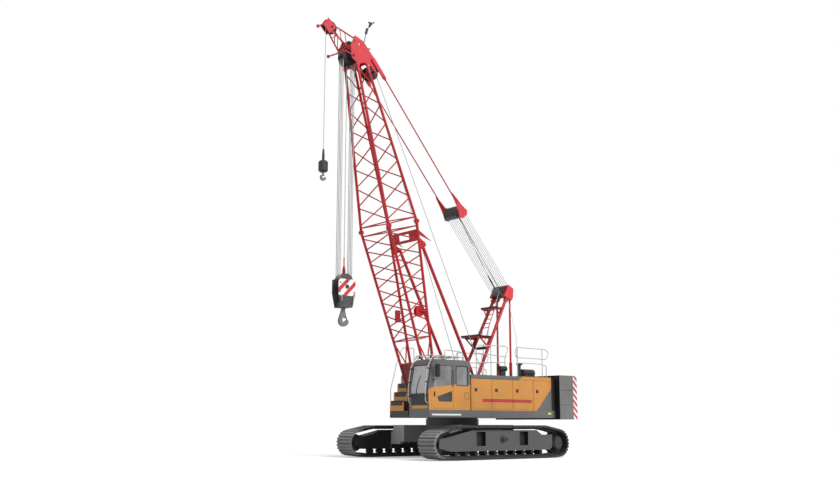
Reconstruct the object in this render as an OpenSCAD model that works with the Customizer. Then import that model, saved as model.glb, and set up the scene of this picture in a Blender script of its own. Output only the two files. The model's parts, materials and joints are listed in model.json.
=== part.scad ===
// Crawler crane with a two-section lattice boom, in millimetres.
// X points forward, Y to the cab side, Z up. The origin is on the ground under the slew axis.

/* [Tracks] */
// Length of one track over its lugs
track_length = 6200; // [5600:10:6800]
// Distance between the track centre lines
track_gauge = 4550; // [4200:10:4900]
// Width of one shoe
shoe_width = 800; // [600:10:900]
// Height of the upper run over its lugs
track_height = 1100; // [950:10:1250]
// Number of shoes on one track
shoe_count = 54; // [44:1:64]
// Radius of the loop round the front idler
idler_wrap_radius = 450; // [400:5:500]
// Radius of the loop round the rear sprocket
sprocket_wrap_radius = 470; // [420:5:520]
// Height of the idler and sprocket axes
end_wheel_height = 500; // [470:5:560]

/* [Undercarriage] */
// Width of a side frame
side_frame_width = 560; // [480:10:640]
// Underside of a side frame
side_frame_bottom = 276; // [250:2:320]
// Top of a side frame
side_frame_top = 940; // [880:5:970]
// Distance of each cross beam from the slew axis
beam_offset = 985; // [900:5:1100]
// Length along the track of a cross beam socket
socket_length = 410; // [340:5:480]
// Underside of the beam sockets
socket_bottom = 440; // [400:5:480]
// Top of the beam sockets
socket_top = 895; // [820:5:920]
// Top of the carbody
carbody_top = 1113; // [1080:1:1150]
// Underside of the carbody
carbody_bottom = 520; // [460:5:600]
// Outer radius of the slew ring
slew_ring_radius = 930; // [850:5:1000]
// Top of the slew ring
slew_ring_top = 1325; // [1280:1:1360]

/* [Upper structure] */
// Half width of the upper structure
upper_half_width = 1700; // [1550:5:1800]
// Underside of the deck
deck_bottom = 1360; // [1330:1:1420]
// Top of the deck
deck_top = 1600; // [1550:5:1700]
// Top of the machine houses
house_top = 2800; // [2600:5:3000]
// Front end of the left machine house
house_front = 625; // [560:5:700]
// Rear end of the machine houses
house_rear = -3330; // [-3500:5:-3100]
// Rear face of the counterweight
weight_rear = -4680; // [-4800:5:-4500]
// Front face of the counterweight
weight_front = -3740; // [-3850:5:-3600]
// Underside of the counterweight
weight_bottom = 1310; // [1280:5:1400]
// Top of the counterweight
weight_top = 2905; // [2700:5:3100]

/* [Cab] */
// Front of the cab at its foot
cab_front = 2460; // [2300:5:2600]
// Rear wall of the cab
cab_rear = 670; // [640:5:760]
// Inner side of the cab, next to the boom
cab_inner = 702; // [690:2:800]
// Top of the cab roof
cab_top = 3255; // [3100:5:3400]
// Rear edge of the cab door
door_rear = 1390; // [1250:5:1500]

/* [Boom] */
// Forward place of the boom foot pin
foot_x = 1261; // [1150:1:1400]
// Height of the boom foot pin
foot_z = 1859; // [1750:1:1950]
// Angle of the boom over the ground
boom_angle = 75; // [70:0.1:80]
// Length of the lower section
butt_length = 6233; // [5900:1:6600]
// Length of the laced upper section
top_length = 5720; // [5200:1:6000]
// Distance between the front and rear chords where the sections join
joint_depth = 1245; // [1100:5:1400]
// Distance between the left and right chords where the sections join
joint_width = 1590; // [1400:5:1700]
// Distance between the front and rear chords at the boom head
head_depth = 400; // [360:5:480]
// Distance between the left and right chords at the boom head
head_width = 720; // [660:5:800]
// Distance between the left and right chords at the boom foot
foot_width = 1132; // [1060:2:1180]
// Distance between the front and rear chords at the boom foot
foot_depth = 210; // [190:2:260]
// Radius of a chord tube
chord_radius = 48; // [40:1:60]
// Radius of a lacing tube
lacing_radius = 22; // [16:1:28]

/* [Boom head] */
// Forward place of the main sheave axis
main_sheave_x = 4738; // [4600:1:4900]
// Height of the main sheave axis
main_sheave_z = 13600; // [13500:1:13700]
// Radius at the rope of the main sheaves
main_sheave_radius = 230; // [200:5:300]
// Forward place of the auxiliary sheave axis
aux_sheave_x = 5450; // [5400:1:5500]
// Height of the auxiliary sheave axis
aux_sheave_z = 14540; // [14480:1:14600]
// Radius at the rope of the auxiliary sheave
aux_sheave_radius = 190; // [150:5:240]

/* [Gantry] */
// Forward place of the gantry head axis
gantry_x = -2502; // [-2700:1:-2300]
// Height of the gantry head axis
gantry_z = 6042; // [5800:1:6300]
// Forward place of the equaliser axis
equaliser_x = -191; // [-400:1:0]
// Height of the equaliser axis
equaliser_z = 8809; // [8600:1:9000]
// Forward place of the pendant pins on the boom head
pendant_x = 3933; // [3800:1:4100]
// Height of the pendant pins on the boom head
pendant_z = 13632; // [13400:1:13900]

/* [Hooks] */
// Top of the main hook block
block_top = 6050; // [5800:5:6300]
// Height of the main hook block
block_height = 1140; // [1000:5:1300]
// Length of the main hook under its block
hook_drop = 615; // [560:5:800]
// Top of the auxiliary ball
ball_top = 9770; // [9500:5:10000]
// Length of the auxiliary ball and its hook
ball_hook_drop = 680; // [600:5:760]

/* [Hidden] */
$fn = 48;
seat = 0.3;
run_gap = 5;
half = 0.5;

// Sheaves and ropes
groove_share = 0.4;
flange_rise = 60;
sheave_half_width = 37;
sheave_pitch = 80;
rope_radius = 13;

// Track loop
lug_height = 28;
shoe_thickness = 45;
chain_height = 60;
chain_width = 230;
band = lug_height + shoe_thickness;
loop_depth = band + chain_height;
corner_radius = 220;
ground_run = 2150;
carrier_front = 1880;
carrier_rear = -1930;
idler_x = track_length * half - idler_wrap_radius;
sprocket_x = sprocket_wrap_radius - track_length * half;
roller_radius = (side_frame_bottom - loop_depth) * half - seat;
roller_count = 10;
roller_width = 300;
end_wheel_width = 190;
hub_radius = 232;
hub_reach = 330;
hub_step = 40;
arm_thickness = 60;
frame_front = 2777;
frame_rear = -2374;
frame_nose_top = 730;
frame_nose_low = 380;
frame_slope_front = 2321;
frame_slope_start = 1378;
frame_drop_start = -1600;
frame_drop_end = -1876;
frame_rear_top = 784;
frame_core_front = 2280;
frame_core_rear = -2240;
port_radius = 62;
boss_radius = 118;
boss_reach = 26;
boss_height = 640;
port_depth = 90;

// Carbody
beam_width = 400;
beam_seat = 3;
beam_end_gap = 150;
wing_inner = 1255;
wing_gap = 15;
drum_radius = 1010;
leg_half = 420;

// Deck and frame
girder_thickness = 40;
lug_gap = 5;
foot_eye_width = 120;
foot_eye_radius = 115;
foot_pin_radius = 50;
lug_thickness = 45;
lug_radius = 150;
floor_thickness = 90;
bay_half = 690;
deck_front_right = 1470;
rear_half = 1450;
rear_top = 2760;
wall = 40;
panel_gap = 6;
door_thickness = 40;
hinge_radius = 14;
house_inner = 720;
left_edges = [house_front, -350, -1367, -2385, house_rear];
right_edges = [house_front, -694, -2012, house_rear];

// Back stops
stop_y = 632;
stop_base = [-984, 1800];
stop_top = [1887, 7261];
stop_rod_radius = 42;
stop_tube_radius = 56;
stop_eye_radius = 75;
stop_eye_half = 36;
stop_pin_radius = 28;
stop_lower_share = 0.21;
stop_rod_share = 0.52;
stop_lug = 25;

// Boom
foot = [foot_x, 0, foot_z];
lean = 90 - boom_angle;
butt_plate_share = 0.23;
tie_share = 0.362;
panels = 8;
top_panels = 8;
lace_gap = 34;
head_base = butt_length + top_length;

function mix(a, b, t) = a + (b - a) * t;
function width_at(s) = s < butt_length
  ? mix(foot_width, joint_width, s / butt_length)
  : mix(joint_width, head_width, (s - butt_length) / top_length);
function depth_at(s) = s < butt_length
  ? mix(foot_depth, joint_depth, s / butt_length)
  : mix(joint_depth, head_depth, (s - butt_length) / top_length);
joint_eye = 76;
joint_eye_half = 58;
function chord(sx, sy, s) = [sx * depth_at(s) * half, sy * width_at(s) * half, s];

// The track loop is straight runs and arcs round circles [x, z, r] in anticlockwise order
function run_normal(a, b) = let (d = b - a)
  atan2(d[1], d[0]) - acos((a[2] - b[2]) / norm([d[0], d[1]]));
function spin_up(a, b) = b < a ? spin_up(a, b + 2 * half_turn) : b;

track_circles = [
  [-ground_run, corner_radius, corner_radius],
  [ground_run, corner_radius, corner_radius],
  [idler_x, end_wheel_height, idler_wrap_radius],
  [carrier_front, track_height - corner_radius, corner_radius],
  [carrier_rear, track_height - corner_radius, corner_radius],
  [sprocket_x, end_wheel_height, sprocket_wrap_radius]];
shoe_shares = [[0.04, 0.8], [0.1, 0], [0.38, 0], [0.45, 0.4], [0.55, 0.4], [0.62, 0], [0.9, 0], [0.96, 0.8]];
half_turn = 180;

// Arc angles, arc length and straight run of the loop at circle i
function arc_angles(c, i) = let (a = run_normal(c[(i + len(c) - 1) % len(c)], c[i]))
  [a, spin_up(a, run_normal(c[i], c[(i + 1) % len(c)]))];
function arc_length(c, i) = let (t = arc_angles(c, i)) c[i][2] * (t[1] - t[0]) * PI / half_turn;
function run_length(c,
  i) = let (d = c[(i + 1) % len(c)] - c[i]) sqrt(d[0] * d[0] + d[1] * d[1] - d[2] * d[2]);
function loop_length(c, i = 0) = i == len(c) ? 0 : arc_length(c, i) + run_length(c, i) + loop_length(c,
  i + 1);

// Point at length l along the loop, sunk by depth
function on_loop(c, l, depth, i = 0) =
  let (a = arc_length(c, i), r = run_length(c, i), t = arc_angles(c, i), k = len(c))
  l > a + r && i < k - 1 ? on_loop(c, l - a - r, depth, i + 1)
  : let (w = t[0] + min(l, a) / c[i][2] * half_turn / PI, e = max(0, l - a))
    [c[i][0] + (c[i][2] - depth) * cos(w) - e * sin(w), c[i][1] + (c[i][2] - depth) * sin(w) + e * cos(w)];

shoe_pitch = loop_length(track_circles) / shoe_count;
shoe_rim = [for (i = [0 : shoe_count - 1]) for (q = shoe_shares)
  on_loop(track_circles, (i + q[0]) * shoe_pitch, q[1] * band)];
function shoe_back(depth) = [for (i = [0 : shoe_count - 1]) on_loop(track_circles, i * shoe_pitch, depth)];
function wheel_radius(wrap) = (wrap - loop_depth) * cos(shoe_pitch * half / wrap * half_turn / PI) - seat;

// Round bar between two points
module bar(a, b, r) {
  d = b - a;
  l = norm(d);
  translate(a) rotate([0, acos(d[2] / l), atan2(d[1], d[0])]) cylinder(h = l, r = r);
}

// Plate drawn in X and Z, standing between y0 and y1
module plate(points, y0, y1) {
  translate([0, y1, 0]) rotate([90, 0, 0]) linear_extrude(y1 - y0) polygon(points);
}

// Round bar along Y
module cross(x, z, r, y0, y1) {
  translate([x, y1, z]) rotate([90, 0, 0]) cylinder(h = y1 - y0, r = r);
}

// Grooved sheave on an axis along Y
module sheave(x, y, z, r, flange, w, bore) {
  translate([x, y, z]) rotate([90, 0, 0]) rotate_extrude() polygon([[bore, -w], [flange, -w],
    [r, -w * groove_share], [r, w * groove_share], [flange, w], [bore, w]]);
}

module block(x0, x1, y0, y1, z0, z1) {
  translate([x0, y0, z0]) cube([x1 - x0, y1 - y0, z1 - z0]);
}

// Undercarriage

module carbody() {
  top = carbody_top;
  inner = track_gauge * half - shoe_width * half - wing_gap;
  front = beam_offset + beam_width * half;
  back = beam_offset - beam_width * half;
  end = track_gauge * half + side_frame_width * half - beam_end_gap;
  color("#4a4c4e") {
    translate([0, 0, carbody_bottom]) linear_extrude(top - carbody_bottom) union() {
      circle(r = drum_radius);
      for (m = [0, 1], n = [0, 1]) mirror([m, 0]) mirror([0, n]) {
        polygon([[back, wing_inner], [front, wing_inner], [front, inner], [back, inner]]);
        polygon([[front, wing_inner], [back, wing_inner + leg_half], [0, leg_half], [leg_half, 0]]);
      }
    }
    for (m = [0, 1], n = [0, 1]) mirror([m, 0, 0]) mirror([0, n, 0])
      block(back, front, inner - leg_half, end, socket_bottom + beam_seat, socket_top - seat);
  }
}

module slew_ring() {
  color("#6c6e70") translate([0, 0, carbody_top + seat])
    cylinder(h = slew_ring_top - carbody_top - seat, r = slew_ring_radius);
}

module side_frame(side) {
  y = side * track_gauge * half;
  half_w = side_frame_width * half;
  outline = [[frame_core_rear, side_frame_bottom], [frame_core_front, side_frame_bottom],
    [frame_front, frame_nose_low], [frame_front, frame_nose_top - port_radius],
    [frame_slope_front, frame_nose_top], [frame_slope_start, side_frame_top],
    [frame_drop_start, side_frame_top], [frame_drop_end, frame_rear_top],
    [frame_rear, frame_rear_top], [frame_rear, frame_nose_low]];
  color("#56585a") translate([0, y, 0]) difference() {
    union() {
      plate(outline, -half_w, half_w);
      cross(0, boss_height, boss_radius, -half_w - boss_reach, half_w + boss_reach);
    }
    for (m = [-1, 1]) cross(0, boss_height, port_radius, m * half_w - port_depth, m * half_w + port_depth);
    block(frame_core_front, track_length, arm_thickness - half_w, half_w - arm_thickness, 0, track_height);
    block(-track_length, frame_core_rear, arm_thickness - half_w, half_w - arm_thickness, 0, track_height);
    for (m = [-1, 1])
      block(m * beam_offset - socket_length * half, m * beam_offset + socket_length * half,
        -shoe_width, shoe_width, socket_bottom, socket_top);
  }
}

module track(side) {
  color("#2f3032") translate([0, side * track_gauge * half, 0]) {
    difference() {
      plate(shoe_rim, -shoe_width * half, shoe_width * half);
      plate(shoe_back(band), -shoe_width, shoe_width);
    }
    difference() {
      plate(shoe_back(band + seat), -chain_width * half, chain_width * half);
      plate(shoe_back(loop_depth), -shoe_width, shoe_width);
    }
  }
}

module end_wheels(side) {
  half_w = end_wheel_width * half;
  color("#3a3b3d") translate([0, side * track_gauge * half, 0]) {
    cross(idler_x, end_wheel_height, wheel_radius(idler_wrap_radius), -half_w, half_w);
    cross(sprocket_x, end_wheel_height, wheel_radius(sprocket_wrap_radius), -half_w, half_w);
    mirror([0, side < 0 ? 1 : 0, 0]) {
      cross(sprocket_x, end_wheel_height, hub_radius, -hub_reach, hub_reach - hub_step);
      cross(sprocket_x, end_wheel_height, hub_radius - hub_step, 0, hub_reach);
    }
  }
}

module rollers(side) {
  low = loop_depth + roller_radius + seat;
  pitch = 2 * ground_run / roller_count;
  color("#38393b") translate([0, side * track_gauge * half, 0]) for (i = [0 : roller_count - 1])
    cross(pitch * (i + half) - ground_run, low, roller_radius, -roller_width * half, roller_width * half);
}

// Upper structure

module upper_frame() {
  eye_in = foot_width * half - foot_eye_width * half - lug_gap;
  eye_out = foot_width * half + foot_eye_width * half + lug_gap;
  color("#5b5d5f") difference() {
    union() {
      translate([0, 0, slew_ring_top + seat])
        cylinder(h = deck_bottom - slew_ring_top + girder_thickness,
          r = slew_ring_radius - girder_thickness);
      block(weight_front + seat, deck_front_right, -bay_half, bay_half, deck_bottom,
        deck_bottom + floor_thickness);
      block(house_rear, cab_front, bay_half - girder_thickness, upper_half_width, deck_bottom, deck_top);
      block(house_rear, deck_front_right, -upper_half_width, girder_thickness - bay_half, deck_bottom,
        deck_top);
      for (m = [0, 1]) mirror([0, m, 0]) {
        for (y = [eye_in - lug_thickness, eye_out])
          plate([[foot_x - lug_radius, deck_bottom], [foot_x + lug_radius, deck_bottom],
            [foot_x + lug_radius, foot_z], [foot_x + lug_radius * half, foot_z + lug_radius],
            [foot_x - lug_radius * half, foot_z + lug_radius], [foot_x - lug_radius, foot_z]],
            y, y + lug_thickness);
        for (y = [stop_y - stop_rod_radius - run_gap - stop_lug, stop_y + stop_rod_radius + run_gap])
          plate([[stop_base[0] - lug_radius, deck_bottom], [stop_base[0] + lug_radius, deck_bottom],
            [stop_base[0] + lug_radius * half, stop_base[1] + stop_eye_radius],
            [stop_base[0] - lug_radius * half, stop_base[1] + stop_eye_radius]], y, y + stop_lug);
      }
      block(weight_front + seat, house_rear + wall, -rear_half, rear_half, deck_bottom, rear_top);
    }
    cross(foot_x, foot_z, foot_pin_radius + seat, -upper_half_width, upper_half_width);
    cross(stop_base[0], stop_base[1], stop_pin_radius + seat, -house_inner, house_inner);
  }
}

module foot_pins() {
  reach = foot_eye_width * half + lug_gap + lug_thickness;
  color("#8c8e90") for (m = [-1, 1])
    cross(foot_x, foot_z, foot_pin_radius, m * foot_width * half - reach, m * foot_width * half + reach);
  color("#8c8e90") for (m = [-1, 1])
    cross(stop_base[0], stop_base[1], stop_pin_radius, m * stop_y - stop_rod_radius - run_gap - stop_lug,
      m * stop_y + stop_rod_radius + run_gap + stop_lug);
}

weight_seam = 14;

// Three slabs, each with a narrow step round its upper edge that shows as a seam
module counterweight() {
  h = (weight_top - weight_bottom) / 3;
  in = weight_seam;
  color("#6f7072") for (i = [0 : 2]) {
    top = weight_bottom + h * (i + 1) - seat;
    block(weight_rear, weight_front, -upper_half_width, upper_half_width, weight_bottom + h * i, top - in);
    block(weight_rear + in, weight_front, in - upper_half_width, upper_half_width - in, top - in * 2, top);
  }
}

// Cab

cab_wall = 50;
cab_foot_nose = 50;
cab_brow = 130;
cab_roof_drop = 90;
cab_waist = 2300;
pillar = 90;
glass_thickness = 8;
door_front = cab_front - pillar;
door_top = cab_top - cab_wall * 2 - pillar;
sill = deck_top + cab_wall;
cab_outline = [[cab_rear, deck_top + seat], [cab_front, deck_top + seat],
  [cab_front + cab_foot_nose, cab_waist], [cab_front - cab_brow, cab_top - cab_roof_drop],
  [cab_front - cab_brow * 2, cab_top], [cab_rear + cab_roof_drop, cab_top],
  [cab_rear, cab_top - cab_roof_drop]];
cab_hollow = [[cab_rear + cab_wall, sill], [cab_front - cab_wall, sill],
  [cab_front + cab_foot_nose - cab_wall, cab_waist],
  [cab_front - cab_brow - cab_wall, cab_top - cab_roof_drop],
  [cab_front - cab_brow * 2, cab_top - cab_wall], [cab_rear + cab_roof_drop, cab_top - cab_wall],
  [cab_rear + cab_wall, cab_top - cab_roof_drop]];
window_sill = 2420;
window_top = 3050;
rear_window_front = 1290;
rear_window_rear = 790;
screen_low = 1980;
low_window = [[door_rear + pillar, 1870], [2060, 1870], [2130, 2030], [door_rear + pillar, 2225]];

module side_opening() {
  door = [[door_rear, sill], [door_front, sill], [door_front + cab_foot_nose, cab_waist],
    [door_front - cab_brow + pillar * half, door_top], [door_rear, door_top]];
  plate(door, upper_half_width - cab_wall * 2, upper_half_width + cab_wall);
}

module cab_shell() {
  mid = (cab_inner + upper_half_width) * half;
  color("#d98a1f") difference() {
    plate(cab_outline, cab_inner, upper_half_width);
    plate(cab_hollow, cab_inner + cab_wall, upper_half_width - cab_wall);
    side_opening();
    block(cab_front - pillar * 4, cab_front * 2, cab_inner + pillar, upper_half_width - pillar,
      screen_low, cab_top - pillar * 2);
    block(rear_window_rear, rear_window_front, cab_inner - cab_wall, upper_half_width * 2,
      window_sill, window_top);
    block(door_rear + pillar, door_front - pillar, cab_inner - cab_wall, mid, window_sill - pillar,
      window_top);
    block(0, cab_rear + cab_wall * 2, cab_inner + pillar, upper_half_width - pillar,
      window_sill, window_top);
  }
}

module cab_glass() {
  y0 = upper_half_width - cab_wall * half;
  color("#2a3338") {
    block(rear_window_rear + seat, rear_window_front - seat, y0, y0 + glass_thickness,
      window_sill + seat, window_top - seat);
    block(rear_window_rear + seat, rear_window_front - seat, cab_inner + cab_wall * half,
      cab_inner + cab_wall * half + glass_thickness, window_sill + seat, window_top - seat);
    block(door_rear + pillar + seat, door_front - pillar - seat, cab_inner + cab_wall * half,
      cab_inner + cab_wall * half + glass_thickness, window_sill - pillar + seat, window_top - seat);
    block(cab_rear + cab_wall * half, cab_rear + cab_wall * half + glass_thickness,
      cab_inner + pillar + seat, upper_half_width - pillar - seat, window_sill + seat, window_top - seat);
    intersection() {
      difference() {
        plate(cab_outline, cab_inner + pillar + seat, upper_half_width - pillar - seat);
        translate([-glass_thickness, 0, 0]) plate(cab_outline, 0, upper_half_width * 2);
      }
      block(cab_front - pillar * 4 + seat, cab_front * 2, 0, upper_half_width * 2,
        screen_low + seat, cab_top - pillar * 2 - seat);
    }
  }
}

module cab_door() {
  y1 = upper_half_width;
  y0 = upper_half_width - cab_wall;
  g = panel_gap;
  outline = [[door_rear + g, sill + g], [door_front - g, sill + g],
    [door_front + cab_foot_nose - g, cab_waist],
    [door_front - cab_brow + pillar * half - g, door_top - g], [door_rear + g, door_top - g]];
  color("#d98a1f") {
    difference() {
      plate(outline, y0, y1);
      plate([[door_rear + pillar, window_sill], [door_front - pillar, window_sill - pillar],
        [door_front - cab_brow - pillar, window_top], [door_rear + pillar, window_top]], 0, y1 * 2);
      plate(low_window, 0, y1 * 2);
    }
    translate([door_rear + g + hinge_radius, y1, sill + seat])
      cylinder(h = door_top - sill - seat * 2, r = hinge_radius);
  }
}

module door_glass() {
  y0 = upper_half_width - cab_wall * half;
  s = seat;
  color("#2a3338") {
    plate([[door_rear + pillar + s, window_sill + s], [door_front - pillar - s, window_sill - pillar + s],
      [door_front - cab_brow - pillar - s, window_top - s], [door_rear + pillar + s, window_top - s]],
      y0, y0 + glass_thickness);
    plate([low_window[0] + [s, s], low_window[1] + [-s, s], low_window[2] + [-s * 2, 0],
      low_window[3] + [s, -s * 2]],
      y0, y0 + glass_thickness);
  }
}

seat_x = 1150;
seat_height = 430;
seat_depth = 520;
seat_back = 620;
cushion = 110;

module operator_seat() {
  mid = (cab_inner + upper_half_width) * half;
  w = seat_depth * half;
  color("#232527") {
    block(seat_x, seat_x + seat_depth, mid - w, mid + w, sill + seat, sill + seat_height);
    block(seat_x - cushion, seat_x, mid - w, mid + w, sill + seat, sill + seat_height + seat_back);
  }
}

// Machine houses

module house(edges, front) {
  y0 = house_inner;
  y1 = upper_half_width;
  color("#d98a1f") difference() {
    block(house_rear + wall + seat, front, y0, y1, deck_top + seat, house_top);
    block(house_rear + wall * 2, front - wall, y0 + wall, y1 * 2, deck_top + wall, house_top - wall * 3);
  }
}

module house_left() {
  house(left_edges, house_front);
}

module house_right() {
  mirror([0, 1, 0]) house(right_edges, house_front);
}

module house_door(edges, i) {
  front = min(edges[i], house_front - wall) - panel_gap;
  rear = max(edges[i + 1], house_rear + wall * 2) + panel_gap;
  color("#d98a1f") {
    block(rear, front, upper_half_width - door_thickness, upper_half_width,
      deck_top + wall + panel_gap, house_top - wall * 3 - panel_gap);
    translate([rear + hinge_radius, upper_half_width, deck_top + wall + seat])
      cylinder(h = house_top - deck_top - wall * 4 - seat * 2, r = hinge_radius);
  }
}

engine_length = 1500;
engine_height = 850;
engine_front = -1500;

module engine() {
  color("#33363a") block(engine_front - engine_length, engine_front, -upper_half_width + wall * 4,
    -house_inner - wall * 2, deck_top + wall + seat, deck_top + wall + engine_height);
}

muffler_x = [-1740, -1420];
muffler_radius = 96;
muffler_y = 950;
muffler_z = 3100;
intake_x = [-3120, -2560];
intake_radius = 132;
intake_z = 2985;
stack_x = -2440;
stack_radius = 52;
stack_cap = 112;
stack_top = 3320;
cap_height = 62;

// Exhaust muffler, air intake and its capped stack on the left roof
module roof_gear() {
  y = muffler_y;
  floor_z = house_top + seat;
  color("#1f2123") {
    translate([muffler_x[0], y, muffler_z]) rotate([0, 90, 0]) cylinder(h = muffler_x[1] - muffler_x[0],
      r = muffler_radius);
    block(muffler_x[0] + stack_radius, muffler_x[1] - stack_radius, y - stack_radius, y + stack_radius,
      floor_z, muffler_z);
    translate([intake_x[0], y, intake_z]) rotate([0, 90, 0]) cylinder(h = intake_x[1] - intake_x[0],
      r = intake_radius);
    block(intake_x[0], intake_x[1], y - stack_cap, y + stack_cap, floor_z, intake_z);
    translate([stack_x, y, floor_z]) cylinder(h = stack_top - floor_z, r = stack_radius);
    translate([stack_x, y, stack_top - cap_height]) cylinder(h = cap_height, r = stack_cap);
  }
}

winch_radius = 230;
winch_flange = 330;
winch_half = 330;
flange_thickness = 30;
winch_x = [250, -750, -1650];
winch_z = 1950;

module winches() {
  color("#5a3020") for (x = winch_x) {
    cross(x, winch_z, winch_radius, -winch_half, winch_half);
    for (m = [-1, 1]) {
      cross(x, winch_z, winch_flange, m * winch_half - flange_thickness, m * winch_half + flange_thickness);
      block(x - winch_radius, x + winch_radius, m * (winch_half + flange_thickness * 2) - flange_thickness,
        m * (winch_half + flange_thickness * 2) + flange_thickness,
        deck_bottom + floor_thickness + seat, winch_z);
    }
  }
}

step_front = 1470;
step_top = 2840;
step_inner = -900;
step_count = 4;
step_rear = 640;

module right_steps() {
  rise = (step_top - deck_top) / step_count;
  run = (step_front - step_rear) / (step_count + 1);
  color("#d98a1f") plate(concat([[step_rear, deck_top + seat]],
    [for (i = [0 : step_count - 1]) for (j = [0, 1])
      [step_front - run * i, deck_top + max(seat, rise * (i + j))]],
    [[step_rear, step_top]]), -upper_half_width, step_inner);
}

// Gantry

leg_radius = 58;
rear_leg_radius = 36;
rear_ram_radius = 56;
rear_ram_top = 3380;
rear_ram_overlap = 100;
gantry_base = [-244, 1700];
gantry_base_y = 470;
gantry_top = [-2393, 5712];
gantry_top_y = 340;
gantry_cheek = 62;
cheek_reach = 240;
cheek_shares = [[0.99, -0.78], [0.01, 0.99], [-1.04, 0.51], [-0.93, -0.9]];
cheek_slope = 21.3;
cheek_front = 165;
cheek_back = 240;
leg_eye = 84;
leg_eye_half = 48;
gantry_shoe_top = gantry_base[1] - leg_eye - seat;
rear_leg_x = -2600;
gantry_sheave_radius = 230;

// Lower edge of a gantry cheek, which lies on the eye of the front leg
cheek_foot = [gantry_top[0] - sin(cheek_slope) * (leg_eye + seat),
  gantry_top[1] + cos(cheek_slope) * (leg_eye + seat)];
function cheek_edge(l) = cheek_foot + [cos(cheek_slope), sin(cheek_slope)] * l;
rear_leg_top = cheek_foot[1] + (rear_leg_x - rear_leg_radius - cheek_foot[0]) * tan(cheek_slope) - seat;

module gantry() {
  floor_top = deck_bottom + floor_thickness + seat;
  color("#b3271e") for (m = [-1, 1]) {
    bar([gantry_base[0], m * gantry_base_y, gantry_base[1]], [gantry_top[0], m * gantry_top_y,
      gantry_top[1]],
      leg_radius);
    cross(gantry_base[0], gantry_base[1], leg_eye, m * gantry_base_y - leg_eye_half,
      m * gantry_base_y + leg_eye_half);
    cross(gantry_top[0], gantry_top[1], leg_eye, m * gantry_top_y - leg_eye_half,
      m * gantry_top_y + leg_eye_half);
    block(gantry_base[0] - leg_radius * 2, gantry_base[0] + leg_radius * 2, m * gantry_base_y - leg_radius,
      m * gantry_base_y + leg_radius, floor_top, gantry_shoe_top);
    translate([rear_leg_x, m * gantry_top_y, 0]) {
      translate([0, 0, floor_top]) cylinder(h = rear_ram_top - floor_top, r = rear_ram_radius);
      translate([0, 0, rear_ram_top - rear_ram_overlap])
        cylinder(h = rear_leg_top - rear_ram_top + rear_ram_overlap, r = rear_leg_radius);
    }
    plate(concat([cheek_edge(cheek_front)],
      [for (q = cheek_shares) [gantry_x + q[0] * cheek_reach, gantry_z + q[1] * cheek_reach]],
      [cheek_edge(-cheek_back)]), m * gantry_top_y - gantry_cheek, m * gantry_top_y + gantry_cheek);
  }
}

platform_thickness = 34;
platform_far = [530, 440];
platform_near = [430, 440];
platform_front = [-940, -1870];
platform_top = [4280, 5380];
bracket_half = 15;
bracket_drop = [330, 200];
bracket_open_share = 0.62;

// Front face of a gantry leg at height z, and its sideways place
leg_lean = atan2(gantry_base[0] - gantry_top[0], gantry_top[1] - gantry_base[1]);
function leg_x(z) = mix(gantry_base[0], gantry_top[0],
  (z - gantry_base[1]) / (gantry_top[1] - gantry_base[1]));
function leg_y(z) = mix(gantry_base_y, gantry_top_y,
  (z - gantry_base[1]) / (gantry_top[1] - gantry_base[1]));
function leg_front(z) = leg_x(z) + (leg_radius + seat) / cos(leg_lean);

module gantry_platforms() {
  color("#7d221b") for (i = [0, 1]) {
    top = platform_top[i];
    under = top - platform_thickness;
    block(leg_front(under), platform_front[i], -platform_far[i], platform_near[i], under, top);
    for (m = [-1, 1]) {
      y = m * leg_y(under - bracket_drop[i] * half);
      edge = [[leg_front(under + seat), under + seat],
        [platform_front[i] - platform_thickness, under + seat],
        [leg_front(under - bracket_drop[i]), under - bracket_drop[i]]];
      centre = (edge[0] + edge[1] + edge[2]) / 3;
      difference() {
        plate(edge, y - bracket_half, y + bracket_half);
        plate([for (q = edge) mix(centre, q, bracket_open_share)],
          y - bracket_half * 2, y + bracket_half * 2);
      }
    }
  }
}

module gantry_sheaves() {
  color("#26282a") cross(gantry_x, gantry_z, gantry_sheave_radius, seat + gantry_cheek - gantry_top_y,
    gantry_top_y - gantry_cheek - seat);
}

// Boom

module in_boom() {
  translate(foot) rotate([0, lean, 0]) children();
}

// Eye of a pinned joint between two chords, along Y
module chord_eye(sx, sy, s, grow) {
  c = chord(sx, sy, s);
  cross(c[0], s, joint_eye + grow, c[1] - joint_eye_half - grow, c[1] + joint_eye_half + grow);
}

// One lacing tube, coped to the two chords it meets
module lace(ax, ay, a, bx, by, b) {
  reach = chord_radius * 3;
  difference() {
    bar(chord(ax, ay, a), chord(bx, by, b), lacing_radius);
    bar(chord(ax, ay, a - reach), chord(ax, ay, a + reach), chord_radius + seat);
    bar(chord(bx, by, b - reach), chord(bx, by, b + reach), chord_radius + seat);
  }
}

// Zigzag lacing of the four faces, the front and rear ones only over their first panels
module lacing(s0, s1, n, front, rear) {
  p = (s1 - s0) / n;
  for (i = [0 : n - 1]) {
    u = i % 2 == 0 ? 1 : -1;
    a = s0 + p * i + lace_gap;
    b = s0 + p * (i + 1) - lace_gap;
    if (i < front) lace(1, u, a, 1, -u, b);
    if (i < rear) lace(-1, u, a, -1, -u, b);
    for (sy = [-1, 1]) lace(u, sy, a, -u, sy, b);
  }
}

// Ring of four straight tubes between the chords
module ties(s) {
  for (m = [-1, 1]) {
    lace(m, 1, s, m, -1, s);
    lace(1, m, s, -1, m, s);
  }
}

butt_plate = butt_length * butt_plate_share;
foot_plate_half = 12;
foot_tube = 38;
front_plate_start = 700;
bay_high_share = 0.975;
bay_sill_share = 0.25;
bay_post_share = 0.36;
wedge_reach = 500;
wedge_drop = 300;
wedge_depth = 170;
wedge_half = 14;

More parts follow.
